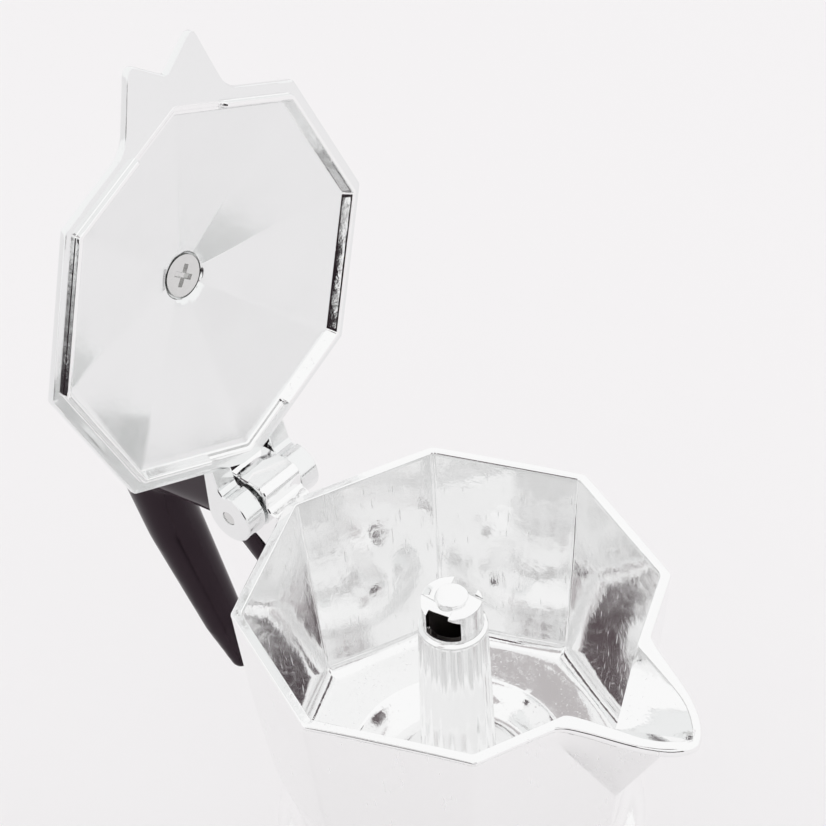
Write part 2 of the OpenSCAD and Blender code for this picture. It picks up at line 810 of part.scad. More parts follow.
module lid_knob() {
    waist_h = 0.62 * knob_h;
    crown_h = knob_h - waist_h;
    color("black")
    swung_open() translate([0, 0, boss_z]) difference() {
        union() {
            cylinder(waist_h, r1 = knob_foot_r, r2 = knob_r, $fn = 8);
            translate([0, 0, waist_h]) cylinder(crown_h - 1.5, r1 = knob_r, r2 = knob_r - 2, $fn = 8);
            translate([0, 0, knob_h - 1.5]) cylinder(1.5, r1 = knob_r - 2, r2 = knob_r - 3.6, $fn = 8);
        }
        translate([0, 0, -cut]) cylinder(insert_h + cut + 0.3, r = insert_r);
    }
}

module knob_insert() {
    color("goldenrod")
    swung_open() translate([0, 0, boss_z]) difference() {
        cylinder(insert_h, r = insert_r);
        translate([0, 0, -cut]) cylinder(screw_l + cut, r = screw_r + 0.05);
    }
}

module knob_screw() {
    slot_w = 1;
    slot_l = 4.4;
    head_z = screw_seat_z - screw_head_t;
    color("lightsteelblue")
    swung_open() difference() {
        union() {
            translate([0, 0, head_z]) cylinder(screw_head_t, r = screw_head_r);
            translate([0, 0, screw_seat_z - cut]) cylinder(boss_z - screw_seat_z + screw_l, r = screw_r);
        }
        for (turn = [0, 90])
            translate([0, 0, head_z]) rotate(turn) cube([slot_l, slot_w, 2], center = true);
    }
}

boiler();
safety_valve_washer();
safety_valve_body();
safety_valve_cap();
safety_valve_spring();
safety_valve_stem();
safety_valve_seal();
funnel_cup();
funnel_sieve();
funnel_tube();
gasket();
filter_plate();
collector();
column();
handle();
handle_pin();
lid();
hinge_pin();
lid_knob();
knob_insert();
knob_screw();
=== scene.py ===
# %% [markdown]
# # An octagonal stove-top coffee maker, opened
# The pot is cast and spun aluminium with black moulded handles. The CAD frame gives every
# piece its true place. Here the castings get their soft corners, drafts and creases, and each
# finish is built from what the real material is, except the dark grey inside the column's head,
# which is painted shade.

# %% Load the frame
import math

import bmesh
import bpy
import numpy as np
from mathutils import Matrix, Vector


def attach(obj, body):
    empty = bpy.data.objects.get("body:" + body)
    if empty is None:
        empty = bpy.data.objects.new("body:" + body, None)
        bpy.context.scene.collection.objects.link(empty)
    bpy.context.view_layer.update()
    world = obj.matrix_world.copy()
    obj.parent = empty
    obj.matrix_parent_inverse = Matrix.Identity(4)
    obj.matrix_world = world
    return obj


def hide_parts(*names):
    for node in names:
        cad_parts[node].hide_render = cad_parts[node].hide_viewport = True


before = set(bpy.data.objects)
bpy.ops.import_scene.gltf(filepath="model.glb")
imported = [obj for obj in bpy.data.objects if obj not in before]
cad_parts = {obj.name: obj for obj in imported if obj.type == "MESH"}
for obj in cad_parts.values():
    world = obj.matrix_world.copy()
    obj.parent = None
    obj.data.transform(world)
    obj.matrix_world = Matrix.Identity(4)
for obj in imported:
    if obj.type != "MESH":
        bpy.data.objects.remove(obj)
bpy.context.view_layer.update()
MM = 0.001

# %% [markdown]
# Every size below is in millimetres, with Z up from the table, +X towards the spout and the
# hinge at -X. The octagon's corners lie on the axes, so its flats face 22.5 degrees off them.
# A flat's distance is measured from the axis to the middle of that side.

# %% Sizes that the castings share
HALF_SIDE = math.radians(22.5)
RIM_Z = 132.0
RIM_FLAT = 40.1 * math.cos(HALF_SIDE)
WALL = 1.95
INNER_FLAT = RIM_FLAT - WALL
INNER_LEAN = math.tan(math.radians(5))
WAIST_Z, WAIST_FLAT, WAIST_R = 79.9, 31.6, 31.4
SKIRT_Z, SKIRT_TOP, SEAT_Z = 60.4, 71.9, 72.9
COLLAR_R = 36.2
FLOOR_Z = 87.5
PIN = Vector((-46.3, 0, 131.0))
LID_OPEN = math.radians(97)
THREAD_PITCH = 3.0
VALVE_Z, VALVE_TURN = 34.0, math.radians(-67.5)
print("the rim is", round(2 * RIM_FLAT, 1), "mm across its flats")

# %% [markdown]
# A mesh can be made point by point. Most castings here are a net of points: one row per height,
# one column per direction round the pot. Quads join the net into a closed skin. A cylinder
# pulled into shape would also do, but a net lets every height have its own outline.

# %% A skin over a net of points
def put_in_scene(name, data):
    made = bpy.data.objects.new(name, data)
    bpy.context.scene.collection.objects.link(made)
    return made


def make_object(name, points, faces):
    mesh = bpy.data.meshes.new(name)
    mesh.from_pydata((np.asarray(points, float) * MM).tolist(), [], faces)
    mesh.validate()
    mesh.update()
    return put_in_scene(name, mesh)


def skin(name, net, around=True, along=False, tips=False):
    """Quads over net[row, column]; around joins the last column to the first, along the last row
    to the first, and tips closes the first and last row with a fan to their middle."""
    net = np.asarray(net, float)
    rows, cols = net.shape[:2]
    index = np.arange(rows * cols).reshape(rows, cols)
    row = np.arange(rows if along else rows - 1)
    col = np.arange(cols if around else cols - 1)
    r, c = np.meshgrid(row, col, indexing="ij")
    r2, c2 = (r + 1) % rows, (c + 1) % cols
    quads = np.stack([index[r, c], index[r, c2], index[r2, c2], index[r2, c]], -1)
    faces = quads.reshape(-1, 4).tolist()
    points = net.reshape(-1, 3)
    if tips:
        points = np.vstack([points, net[0].mean(0), net[-1].mean(0)])
        low, high = rows * cols, rows * cols + 1
        for here in range(cols):
            after = (here + 1) % cols
            faces.append([index[0, after], index[0, here], low])
            faces.append([index[-1, here], index[-1, after], high])
    return make_object(name, points, faces)


print("a net becomes a mesh of quads")

# %% [markdown]
# A real casting is machined after it is cast: holes are drilled and edges are broken. Boolean
# and bevel modifiers do the same to a mesh. Each one is applied at once, because the next step
# has to work on its result. Smooth shading then stops at the creases, as light does.

# %% Machining a casting
def outward(piece):
    """Turns every face outwards."""
    work = bmesh.new()
    work.from_mesh(piece.data)
    bmesh.ops.recalc_face_normals(work, faces=work.faces)
    work.to_mesh(piece.data)
    work.free()
    return piece


def apply_modifier(piece, kind, **settings):
    """Adds one modifier and keeps its result as the mesh."""
    modifier = piece.modifiers.new(kind.lower(), kind)
    for key, value in settings.items():
        setattr(modifier, key, value)
    graph = bpy.context.evaluated_depsgraph_get()
    done = bpy.data.meshes.new_from_object(piece.evaluated_get(graph))
    piece.modifiers.clear()
    piece.data = done
    return piece


def join_solid(piece, other, how="UNION"):
    """Adds or cuts a second solid exactly, then throws the second one away."""
    apply_modifier(piece, "BOOLEAN", object=other, operation=how, solver="EXACT")
    bpy.data.objects.remove(other)


def shade(piece, crease, weigh=True):
    """Smooth shading that stays sharp where faces meet at more than crease degrees."""
    for face in piece.data.polygons:
        face.use_smooth = True
    piece.data.set_sharp_from_angle(angle=math.radians(crease))
    if weigh:
        apply_modifier(piece, "WEIGHTED_NORMAL", keep_sharp=True, weight=50)
    return piece


def bevel(piece, width, steps, angle):
    """Breaks edges sharper than angle by a real width in millimetres."""
    return apply_modifier(piece, "BEVEL", width=width * MM, segments=steps,
                          limit_method="ANGLE", angle_limit=math.radians(angle))


print("ready to drill, join and bevel")

# %% [markdown]
# An octagon in polar form is one short formula: the flat's distance over a cosine, with an arc
# at each corner. With it any row of a net is just a radius for each direction. Directions lie
# close together at the corners, where the surface bends, and far apart along the flats.

# %% Octagon and turned rows in polar form
CORNER_STEPS = np.array([0, 0.3, 0.6, 0.9, 1.3, 2.1, 4, 8, 13, 18, 22.5])
FRONT_HALF = 22.5


def octagon_r(turn, flat, corner_r):
    """Radius of an octagon with rounded corners in the directions turn, in degrees."""
    off = (np.asarray(turn) + 22.5) % 45 - 22.5
    side = flat / np.cos(HALF_SIDE - np.radians(np.abs(off)))
    middle = (flat - corner_r) / math.cos(HALF_SIDE)
    slant = middle * np.sin(np.radians(off))
    arc = middle * np.cos(np.radians(off)) + np.sqrt(np.maximum(corner_r**2 - slant**2, 0))
    start = np.arctan2(corner_r * math.sin(HALF_SIDE), middle + corner_r * math.cos(HALF_SIDE))
    return np.where(np.radians(np.abs(off)) < start, arc, side)


def net_from(turn, rows):
    """Points from rows of (radius, height), where either may be a number or one per column."""
    angle = np.radians(turn)
    net = np.zeros((len(rows), len(turn), 3))
    for i, (radius, height) in enumerate(rows):
        net[i, :, 0] = radius * np.cos(angle)
        net[i, :, 1] = radius * np.sin(angle)
        net[i, :, 2] = height
    return net


def columns(front_step=None):
    """Directions round the pot, evenly spaced over the front where a step is given."""
    turns = {round(45 * k + s * a, 3) % 360 for k in range(8) for s in (-1, 1)
             for a in CORNER_STEPS}
    if front_step:
        turns = {t for t in turns if FRONT_HALF <= t <= 360 - FRONT_HALF}
        count = int(round(2 * FRONT_HALF / front_step))
        turns |= {round(-FRONT_HALF + i * front_step, 3) % 360 for i in range(count + 1)}
    return np.array(sorted(turns))


print("directions round the pot:", len(columns()))

# %% [markdown]
# A few sums come back in every casting, such as the lesser of two radii with a soft change from
# one to the other. A thread is a ridge whose height goes by the turn as well as by Z, one pitch
# a turn.

# %% Sums that the castings share
def mix(a, b, t):
    return a + (b - a) * t


def way(count):
    """Shares of a way in even steps, without its start."""
    return np.linspace(0, 1, count)[1:]


def sin_cos(degrees):
    return math.sin(math.radians(degrees)), math.cos(math.radians(degrees))


def from_front(turn):
    """Degrees from the front, to either side."""
    return np.abs((turn + 180) % 360 - 180)


def soft_min(a, b, width):
    low = np.minimum(a, b)
    return low - width * np.log1p(np.exp(-np.abs(a - b) / width))


def thread_row(turn, z, radius, height, share, start=0.0):
    """One row of a thread: share fades it out towards its ends."""
    phase = (z / THREAD_PITCH - turn / 360 + start) % 1
    return radius + height * share * (1 - np.abs(2 * phase - 1)), z


def polar_line(points, steps):
    """Radius by direction of a line through points (x, y), as a function of the direction."""
    points = np.asarray(points, float)
    shares = np.linspace(0, 1, steps)[:, None]
    fine = np.vstack([mix(points[i], points[i + 1], t)
                      for i in range(len(points) - 1) for t in shares])
    angle = np.degrees(np.arctan2(fine[:, 1], fine[:, 0]))
    order = np.argsort(angle)
    return lambda turn: np.interp(turn, angle[order], np.hypot(*fine[order].T))


print("a soft minimum of 1 and 1 is", round(float(soft_min(1, 1, 0.4)), 2))

# %% [markdown]
# ## Collector
# The upper pot is one gravity casting: a round threaded skirt, an octagonal bowl that bulges a
# little, and a beak drawn out of the front corner. The whole casting is one net whose rows run
# up the outside, over the lip, down the inside and back to the skirt. The beak could be a
# separate solid joined on, but then its faces wouldn't melt into the bowl's as cast ones do.

# %% Outline of the spout
LIP_HALF, GROOVE_HALF = 15.0, 11.4


def smooth_outline(points, rounds=3):
    """Chaikin corner cutting, which keeps the ends."""
    line = np.asarray(points, float)
    for _ in range(rounds):
        a, b = line[:-1], line[1:]
        inner = np.stack([mix(a, b, 0.25), mix(a, b, 0.75)], 1).reshape(-1, 2)
        line = np.vstack([line[:1], inner, line[-1:]])
    return line


def flat_at(y, flat):
    """Distance X at which a front flat is y off the middle."""
    return (flat - y * math.sin(HALF_SIDE)) / math.cos(HALF_SIDE)


LIP_PLAN = smooth_outline([(flat_at(LIP_HALF, RIM_FLAT), LIP_HALF),
                           (flat_at(13.2, RIM_FLAT) + 0.1, 13.2), (39.2, 11.1), (42.4, 9.8),
                           (45.2, 8.6), (48.2, 7.1), (51.8, 4.6), (54.05, 1.6), (54.4, 0)])
GROOVE_PLAN = smooth_outline([(flat_at(GROOVE_HALF, INNER_FLAT), GROOVE_HALF),
                              (flat_at(10.2, INNER_FLAT), 10.2), (37.2, 9.0), (40.5, 7.9),
                              (43.2, 7.0), (46.2, 6.0), (49.2, 4.3), (52.0, 1.6), (53.0, 0)])
lip_by_turn = polar_line(LIP_PLAN, 6)
groove_by_turn = polar_line(GROOVE_PLAN, 6)
LIP_ROOT = math.degrees(math.atan2(LIP_HALF, LIP_PLAN[0][0]))
GROOVE_ROOT = math.degrees(math.atan2(GROOVE_HALF, GROOVE_PLAN[0][0]))
print("the spout spreads over", round(LIP_ROOT, 1), "degrees each side")

# %% [markdown]
# From below, the skirt draws in to a round waist and then opens into eight sides. Round and
# eight-sided forms meet where the soft minimum of their two radii is taken, so the corners rise
# out of the waist without a line. Between waist and rim the sides bulge a little.

# %% Skirt, waist and bowl
WAIST_IN, WAIST_HIGH = 4.8, 8.0
BOWL_OUT, BOWL_HIGH = 10.7, 10
BULGE = 0.35


def collector_flat(z):
    t = np.clip((z - WAIST_Z) / (RIM_Z - WAIST_Z), 0, 1)
    return WAIST_FLAT + (RIM_FLAT - WAIST_FLAT) * (t + BULGE * t * (1 - t))


def skirt_rows():
    rows = [(33.0, SKIRT_Z), (35.7, SKIRT_Z), (36.05, SKIRT_Z + 0.15), (COLLAR_R, SKIRT_Z + 0.5)]
    rows += [(COLLAR_R, z) for z in (63.0, 66.0, 69.0, 71.0)]
    for a in np.linspace(0, 90, 13):
        bend = sin_cos(a)[0]
        rows.append((WAIST_R + WAIST_IN * (1 - bend * bend), SKIRT_TOP + WAIST_HIGH * a / 90))
    return rows


def bowl_rows(turn, join_z):
    rows = []
    for a in np.linspace(6, 84, 22):
        s, c = sin_cos(a)
        z = WAIST_Z + BOWL_HIGH * s
        eight = octagon_r(turn, collector_flat(z), 1.8)
        rows.append((soft_min(eight, WAIST_R + BOWL_OUT * (1 - c), 0.35), z))
    base_z = rows[-1][1]
    for t in way(15):
        z = mix(base_z, join_z, t)
        rows.append((octagon_r(turn, collector_flat(z), 1.6), z))
    return rows


print("rows up to the bowl:", len(skirt_rows()))

# %% [markdown]
# The outside of the beak is a V of two drafted faces under a rounded lip, and the lip sinks
# towards its tip so that the last drop runs off it. In polar form each face of the V is a
# straight line, so a radius for each direction is enough here too.

# %% Spout and lip from outside
KEEL_X, KEEL_SLOPE = 50.0, 14.6 / 13.2
RIM_CORNER = 1.5


def lip_drop(radius):
    """The lip sinks towards its tip."""
    return 2.3 * np.clip((radius - 37.5) / 17.3, 0, 1) ** 1.25


def spout_rows(turn, side, reach, join_z):
    on_lip = side < LIP_ROOT
    lip_r = np.where(on_lip, lip_by_turn(side), octagon_r(turn, RIM_FLAT, RIM_CORNER))
    top_z = RIM_Z - lip_drop(lip_r)
    under_z = top_z - 0.95 - 1.75 * reach**0.7
    keel = KEEL_X / (np.cos(np.radians(side)) + KEEL_SLOPE * np.sin(np.radians(side)))
    rim_r = octagon_r(turn, collector_flat(under_z), RIM_CORNER)
    beak_r = np.maximum(np.minimum(keel, lip_r - 0.35), rim_r - 0.02)
    facet_r = np.where(on_lip, beak_r, rim_r)
    join_r = octagon_r(turn, collector_flat(join_z), 1.6)
    rows = []
    for t in way(13):
        swell = 0.9 * reach * (1 - reach) * 4 * t * (1 - t)
        rows.append((mix(join_r, facet_r, t) + swell, mix(join_z, under_z, t)))
    soft = 0.35 + 1.1 * reach
    half = (top_z - under_z) / 2
    rows.append((np.maximum(mix(facet_r, lip_r - soft, 0.55), facet_r), under_z - 0.06 * reach))
    for a in range(-75, 91, 15):
        s, c = sin_cos(a)
        rows.append((lip_r - soft * (1 - c), (top_z + under_z) / 2 + half * s))
    return rows


print("the lip's tip is", round(float(lip_drop(LIP_PLAN[-1][0])), 1), "mm below the rim")

# %% [markdown]
# Inside the beak is a second V that rises to the tip, with soft folds where the metal was drawn.
# Below it the walls lean in to a round floor, and the floor sinks to a dish round the column.
# The folds are a sine across the V, which fades out at both its ends.

# %% Inside of the bowl
IN_CORNER, RIM_ROUND = 1.2, 0.32
FOOT_ROUND = 2.6
DISH_R, DISH_Z, DISH_END, DISH_DEEP = 20.5, 86.55, 7.7, 3.3


def inner_flat(z):
    return INNER_FLAT - INNER_LEAN * (RIM_Z - z)


def inner_r(turn, z):
    return octagon_r(turn, inner_flat(z), IN_CORNER)


def inside_rows(turn, side, dip):
    in_r = np.where(side < GROOVE_ROOT, groove_by_turn(side), inner_r(turn, RIM_Z))
    in_z = RIM_Z - lip_drop(in_r)
    rows = [(in_r + RIM_ROUND, in_z)]
    for a in (30, 60, 90):
        s, c = sin_cos(a)
        rows.append((in_r + RIM_ROUND * (1 - s), in_z - RIM_ROUND * (1 - c)))
    valley_z = RIM_Z - 0.75 - 10.1 * dip
    valley_r = inner_r(turn, valley_z)
    for t in way(15):
        folds = dip * (1 - dip) * (2.2 - 2.4 * np.sin(2.6 * math.pi * dip)) * t * (1 - t)
        rows.append((mix(in_r, valley_r, t) + folds, mix(in_z - RIM_ROUND, valley_z, t)))
    wall_foot = FLOOR_Z + FOOT_ROUND
    for t in way(15):
        z = mix(valley_z, wall_foot, t)
        rows.append((inner_r(turn, z), z))
    for a in (75, 60, 45, 30, 15, 0):
        s, c = sin_cos(a)
        rows.append((mix(28.6, inner_r(turn, wall_foot), s), FLOOR_Z + FOOT_ROUND * (1 - c)))
    return rows


def dish_rows():
    rows = [(28.0, 87.49), (26.0, 87.3), (23.0, 87.02), (21.3, 86.85), (20.9, 86.75),
            (DISH_R, DISH_Z)]
    for t in np.linspace(0.04, 1, 20):
        sunk = DISH_Z - DISH_DEEP * math.sin(math.pi * t)
        rows.append((mix(DISH_R, DISH_END, t), sunk + 0.15 * t))
    return rows


print("rows of the dish:", len(dish_rows()))

# %% [markdown]
# Under the floor are the column's socket, the dome that gathers the coffee and the seat for the
# gasket. The skirt's thread is cut outwards from the turned bore, so it never touches the neck.

# %% Underside, thread and the whole casting
SKIRT_BORE, SKIRT_THREAD_LOW, SKIRT_FADE = 32.6, 61.4, 1.5
SOCKET_R, DOME_R = 5.65, 27.2


def underside_rows(turn):
    rows = [(SOCKET_R, 86.7), (SOCKET_R, 82.4), (8.0, 82.2), (15.0, 81.6), (23.6, 80.9),
            (DOME_R, 74.9), (DOME_R, SEAT_Z), (SKIRT_BORE, SEAT_Z)]
    for z in np.arange(SKIRT_TOP, SKIRT_THREAD_LOW, -0.3):
        share = min((SKIRT_TOP - z) / SKIRT_FADE, (z - SKIRT_THREAD_LOW) / SKIRT_FADE, 1)
        rows.append(thread_row(turn, z, SKIRT_BORE, 0.8, share))
    return rows + [(SKIRT_BORE, 61.0)]


def collector_rows(turn):
    side = from_front(turn)
    reach = np.clip(1 - side / LIP_ROOT, 0, 1)
    dip = np.clip(1 - side / GROOVE_ROOT, 0, 1)
    join_z = RIM_Z - 1.5 - 27.5 * reach
    return (skirt_rows() + bowl_rows(turn, join_z) + spout_rows(turn, side, reach, join_z)
            + inside_rows(turn, side, dip) + dish_rows() + underside_rows(turn))


turn = columns(front_step=0.625)
net = net_from(turn, collector_rows(turn))
collector = outward(skin("collector_casting", net, along=True))
print("collector net", net.shape)

# %% [markdown]
# The block that carries the hinge pin and the tongue that carries the handle are cast on. They
# are flat forms with straight sides, so each is drawn as an outline, given its thickness and
# joined exactly to the bowl. The pins' holes are then drilled through the whole casting.

# %% Hinge block and handle tongue
BLOCK_HALF, BLOCK_BACK, BLOCK_TOP = 4.8, PIN.x - 4, 137.0
TONGUE_HALF, TONGUE_BACK = 2.4, -56.5
HANDLE_PIN = (-52.9, 0, 123.4)
HIDDEN_X = -38.6


def plate(name, outline, low_y, high_y, rim, steps=3):
    """A flat solid from an outline of (x, z) points, between two depths, with its rims rounded."""
    outline = np.asarray(outline, float)
    count = len(outline)
    points = [(x, y, z) for y in (low_y, high_y) for x, z in outline]
    faces = [list(range(count)), list(range(2 * count - 1, count - 1, -1))]
    faces += [[i, count + i, count + (i + 1) % count, (i + 1) % count] for i in range(count)]
    made = outward(make_object(name, points, faces))
    return bevel(made, rim, steps, angle=45) if rim else made


def arc(middle, radius, start, end, steps):
    """Points on an arc in the plane, angles in degrees."""
    return [(middle[0] + radius * math.cos(math.radians(a)),
             middle[1] + radius * math.sin(math.radians(a)))
            for a in np.linspace(start, end, steps)]


def drill(name, middle, radius, half_length, axis="Y", sides=48):
    """A round cutter or pin along an axis, with its middle at a point."""
    ring = np.linspace(0, 2 * math.pi, sides, endpoint=False)
    rows = [[(radius * math.cos(a), radius * math.sin(a), z) for a in ring]
            for z in (-half_length, half_length)]
    made = outward(skin(name, rows, tips=True))
    about_x, about_y = {"X": (0, 90), "Y": (90, 0), "Z": (0, 0)}[axis]
    made.data.transform(Matrix.Translation(Vector(middle) * MM)
                        @ Matrix.Rotation(math.radians(about_y), 4, "Y")
                        @ Matrix.Rotation(math.radians(about_x), 4, "X"))
    return made


block_outline = ([(HIDDEN_X, 131.7), (-40.2, 132.0), (-40.75, 132.7)]
                 + arc((-42.9, 134.9), 2.1, 0, 90, 7)
                 + [(BLOCK_BACK, BLOCK_TOP), (BLOCK_BACK, 125.4), (PIN.x, 125.0),
                    (HIDDEN_X, 119.5)])
block = plate("hinge_block", block_outline, -BLOCK_HALF, BLOCK_HALF, rim=0.5)
tongue_outline = [(HIDDEN_X, 126.8), (TONGUE_BACK, 126.8), (TONGUE_BACK, 122.4),
                  (-51.9, 119.8), (HIDDEN_X, 117.4)]
tongue = plate("handle_tongue", tongue_outline, -TONGUE_HALF, TONGUE_HALF, rim=0.3)
join_solid(block, tongue)
join_solid(collector, block)
join_solid(collector, drill("cut", PIN, 1.55, 8), "DIFFERENCE")
join_solid(collector, drill("cut", HANDLE_PIN, 1.6, 8), "DIFFERENCE")
shade(collector, 24)
print("collector faces:", len(collector.data.polygons))

# %% [markdown]
# ## Lid
# The lid is thin and cast too: a flat flange with a tab at the front, a thin ridge that drops
# inside the rim, and an eight-sided dome. It is drawn shut, where its own axis is upright and
# polar rows work, and it is swung open about the hinge pin once it is whole.

# %% Outline of the tab, and the swing
LID_Z, LID_TOP, LID_FLAT = 132.3, 133.75, 36.77
TAB_HALF = 14.9
TAB_PLAN = ([(flat_at(y, LID_FLAT), y) for y in (TAB_HALF, 14.2)]
            + [(34.8, 13.3), (35.5, 12.6), (36.4, 12.0), (37.4, 11.55), (41.8, 10.05)]
            + arc((46.9, 6.9), 1.4, 71, -38, 9)
            + [(44.25, 1.15), (43.85, 0.6), (43.65, 0.3), (43.6, 0)])
tab_by_turn = polar_line(TAB_PLAN, 5)
TAB_ROOT = math.degrees(math.atan2(TAB_HALF, TAB_PLAN[0][0]))


def swing_matrix():
    """Takes what is drawn shut back about the hinge pin to where the lid rests open."""
    pin = Matrix.Translation(PIN * MM)
    return pin @ Matrix.Rotation(-LID_OPEN, 4, "Y") @ pin.inverted()


print("the tab spreads over", round(TAB_ROOT, 1), "degrees each side")

# %% [markdown]
# The rows run from the screw's hole over the dome's inside to the ridge, out along the flange to
# its edge and back over the top. The ridge has gaps at the spout and at the hinge. There its foot
# is lifted to the flange, so the net needs no cut.

# %% Rows of the lid
SCREW_HOLE_R, RECESS_R = 2.25, 4.45
RIDGE_DROP, RIDGE_TOP = 1.2, 133.1
RIDGE_IN, RIDGE_OUT = 35.45, 37.36
GAP_FRONT, GAP_BACK, GAP_FADE = 10.9, 10.7, 0.35


def eight_r(turn, corner, soft):
    """Radius by direction of an octagon given by its corner's distance."""
    return octagon_r(turn, corner * math.cos(HALF_SIDE), soft)


def ridge_share(turn):
    """1 where the ridge stands and 0 in its gaps, with a smooth step between."""
    across = np.abs(36.0 * np.sin(np.radians(turn)))
    gap = np.where(np.cos(np.radians(turn)) > 0, GAP_FRONT, GAP_BACK)
    there = np.clip((across - gap) / GAP_FADE, 0, 1)
    return there * there * (3 - 2 * there)


def under_rows(turn):
    rows = [(SCREW_HOLE_R, 142.2), (RECESS_R, 142.2), (RECESS_R, 140.45), (4.6, 140.25)]
    for r in [5.4, 6.5, 8, 10, 13, 17, 21, 25, 29, 32, 34.3, 35.1]:
        rows.append((eight_r(turn, r, 0.09 * r), 133.2 + 8.0 * (1 - r / 35.29)))
    there = ridge_share(turn)
    foot = LID_Z - RIDGE_DROP * there
    ridge = [(RIDGE_IN, RIDGE_TOP), (35.7, mix(132.75, 132.8, there)),
             (36.25, mix(LID_Z, foot + 0.4, 0.98)), (36.45, foot + 0.1), (36.65, foot),
             (37.1, foot), (37.3, foot + 0.07), (RIDGE_OUT, foot + 0.2),
             (RIDGE_OUT, mix(foot, LID_Z, 0.85)), (37.5, LID_Z - 0.01)]
    return rows + [(eight_r(turn, r, 1.0), z) for r, z in ridge]


def flange_rows(turn):
    side = from_front(turn)
    edge = np.where(side < TAB_ROOT, tab_by_turn(side), octagon_r(turn, LID_FLAT, 1.0))
    return [(mix(eight_r(turn, 37.5, 1.0), edge - 0.3, 0.5), LID_Z), (edge - 0.3, LID_Z),
            (edge - 0.09, LID_Z + 0.09), (edge, LID_Z + 0.3), (edge, LID_TOP - 0.3),
            (edge - 0.09, LID_TOP - 0.09), (edge - 0.3, LID_TOP),
            (np.minimum(edge - 0.4, eight_r(turn, 38.9, 1.0)), LID_TOP)]


def top_rows(turn):
    rows = [(eight_r(turn, 38.3, 1.0), LID_TOP + 0.04)]
    for r in (38.0, 34, 28, 22, 16, 12, 9.4):
        rows.append((eight_r(turn, r, 0.05 * r), LID_TOP + 8.85 * (38.2 - r) / 36.2))
    return rows + [(8.1, 141.15), (7.7, 141.5), (7.6, 142.0), (7.6, 143.1), (7.3, 143.4),
                   (2.5, 143.4), (SCREW_HOLE_R, 143.2)]


def near_spans(spans, step=0.5):
    """Column directions with extra ones inside each span of degrees."""
    extra = {round(a + i * step, 3) % 360 for a, b in spans
             for i in range(int((b - a) / step) + 1)}
    return np.array(sorted(set(columns()) | extra))


turn = near_spans([(-23, 23), (157, 203)])
net = net_from(turn, under_rows(turn) + flange_rows(turn) + top_rows(turn))
lid = outward(skin("lid_casting", net, along=True))
print("lid net", net.shape)

# %% [markdown]
# Two lugs reach back from the lid and wrap round the pin, one on each side of the block. Each is
# an outline again: an arc round the pin that runs on into the flange. A notch between them
# clears the block, and one drilled hole lines both of them up on the pin.

# %% Hinge lugs
LUG_R, LUG_WIDE, LUG_IN = 5.3, 4.7, 5.2
lug_outline = (arc((PIN.x, PIN.z), LUG_R, 90, 350, 32)
               + [(-41.5, 130.9), (-41.3, 131.6), (-40.4, 132.2), (-38.2, 132.5),
                  (-36.0, 132.9), (-33.5, 133.6), (-31.6, 135.0), (-33.5, 135.2),
                  (-37.5, 135.5)])
notch_outline = [(-70, 115), (HIDDEN_X, 115), (HIDDEN_X, 150), (-70, 150)]
join_solid(lid, plate("notch", notch_outline, -LUG_IN, LUG_IN, rim=0), "DIFFERENCE")
for low in (-LUG_IN - LUG_WIDE, LUG_IN):
    join_solid(lid, plate("lug", lug_outline, low, low + LUG_WIDE, rim=0.45))
join_solid(lid, drill("cut", PIN, 1.5, 14), "DIFFERENCE")
shade(lid, 24)
lid.data.transform(swing_matrix())
print("lid faces:", len(lid.data.polygons))

# %% [markdown]
# ## Column
# The hollow column is pressed into the bowl's floor. Its shaft is fluted, which is how such a
# casting is drawn from its die. A flute is a shallow round hollow with a narrow ridge on either
# side, and a sine of the turn whose lows are softened gives all of them in one line.

# %% Fluted shaft
FLUTES, RIDGE_SOFT = 20, 0.16
FOOT_R, LEDGE_R = 7.3, 6.5
BORE_R, HEAD_R, SPIGOT_R = 3.6, 4.55, 5.6
WINDOW_HALF, SILL_Z, BRIDGE_Z = 3.4, 125.2, 129.7


def column_rows(turn):
    flute = np.hypot(np.sin(math.radians(FLUTES / 2) * turn), RIDGE_SOFT) - RIDGE_SOFT
    rows = [(1.5, BRIDGE_Z), (4.2, BRIDGE_Z), (HEAD_R, 129.4), (HEAD_R, 125.0), (4.2, 122.0),
            (BORE_R, 117.0), (BORE_R, 100.0), (BORE_R, 82.5), (3.8, 82.3), (5.3, 82.3),
            (SPIGOT_R, 82.6), (SPIGOT_R, 86.7), (6.9, 86.7)]
    for t in np.linspace(0, 1, 14):
        radius, z = mix(FOOT_R, LEDGE_R, t), mix(87.0, 123.1, t)
        rows.append((radius - mix(0.33, 0.24, t) * flute, z))
    return rows + [(6.49 - 0.14 * flute, 123.5), (LEDGE_R, 123.85), (6.42, 124.1),
                   (6.2, 124.27), (5.9, 124.36), (5.72, 124.5), (5.65, 124.8), (5.65, 127.0),
                   (5.65, 130.5), (5.55, 130.8), (5.3, 130.95), (3.3, 130.98), (1.0, 130.98)]


turn = np.arange(0, 360, 360 / (FLUTES * 10))
column = outward(skin("column_casting", net_from(turn, column_rows(turn)), tips=True))
print("flutes:", FLUTES)

# %% [markdown]
# Two windows under a bridge let the coffee out. A cutter takes each window out of the head, and
# a wedge takes the bridge's corners off, so the bridge crosses the head at a slant. A small boss
# stays on top. It is joined after the cuts, so they can't reach it.

# %% Windows, bridge and boss
BRIDGE_TURN = 19
WEDGE_FOOT = [(-3.3, 4.15), (2.6, 3.5), (8, 1.7), (8, 9), (-3.3, 9)]
WEDGE_TOP = [(-1.3, 2.9), (2.1, 1.9), (8, 0.1), (8, 9), (-1.3, 9)]


def window_cut():
    outline = [(-WINDOW_HALF, SILL_Z), (WINDOW_HALF, SILL_Z), (WINDOW_HALF, BRIDGE_Z),
               (-WINDOW_HALF, BRIDGE_Z)]
    return plate("cut", outline, 1.0, 8, rim=0.25, steps=2)


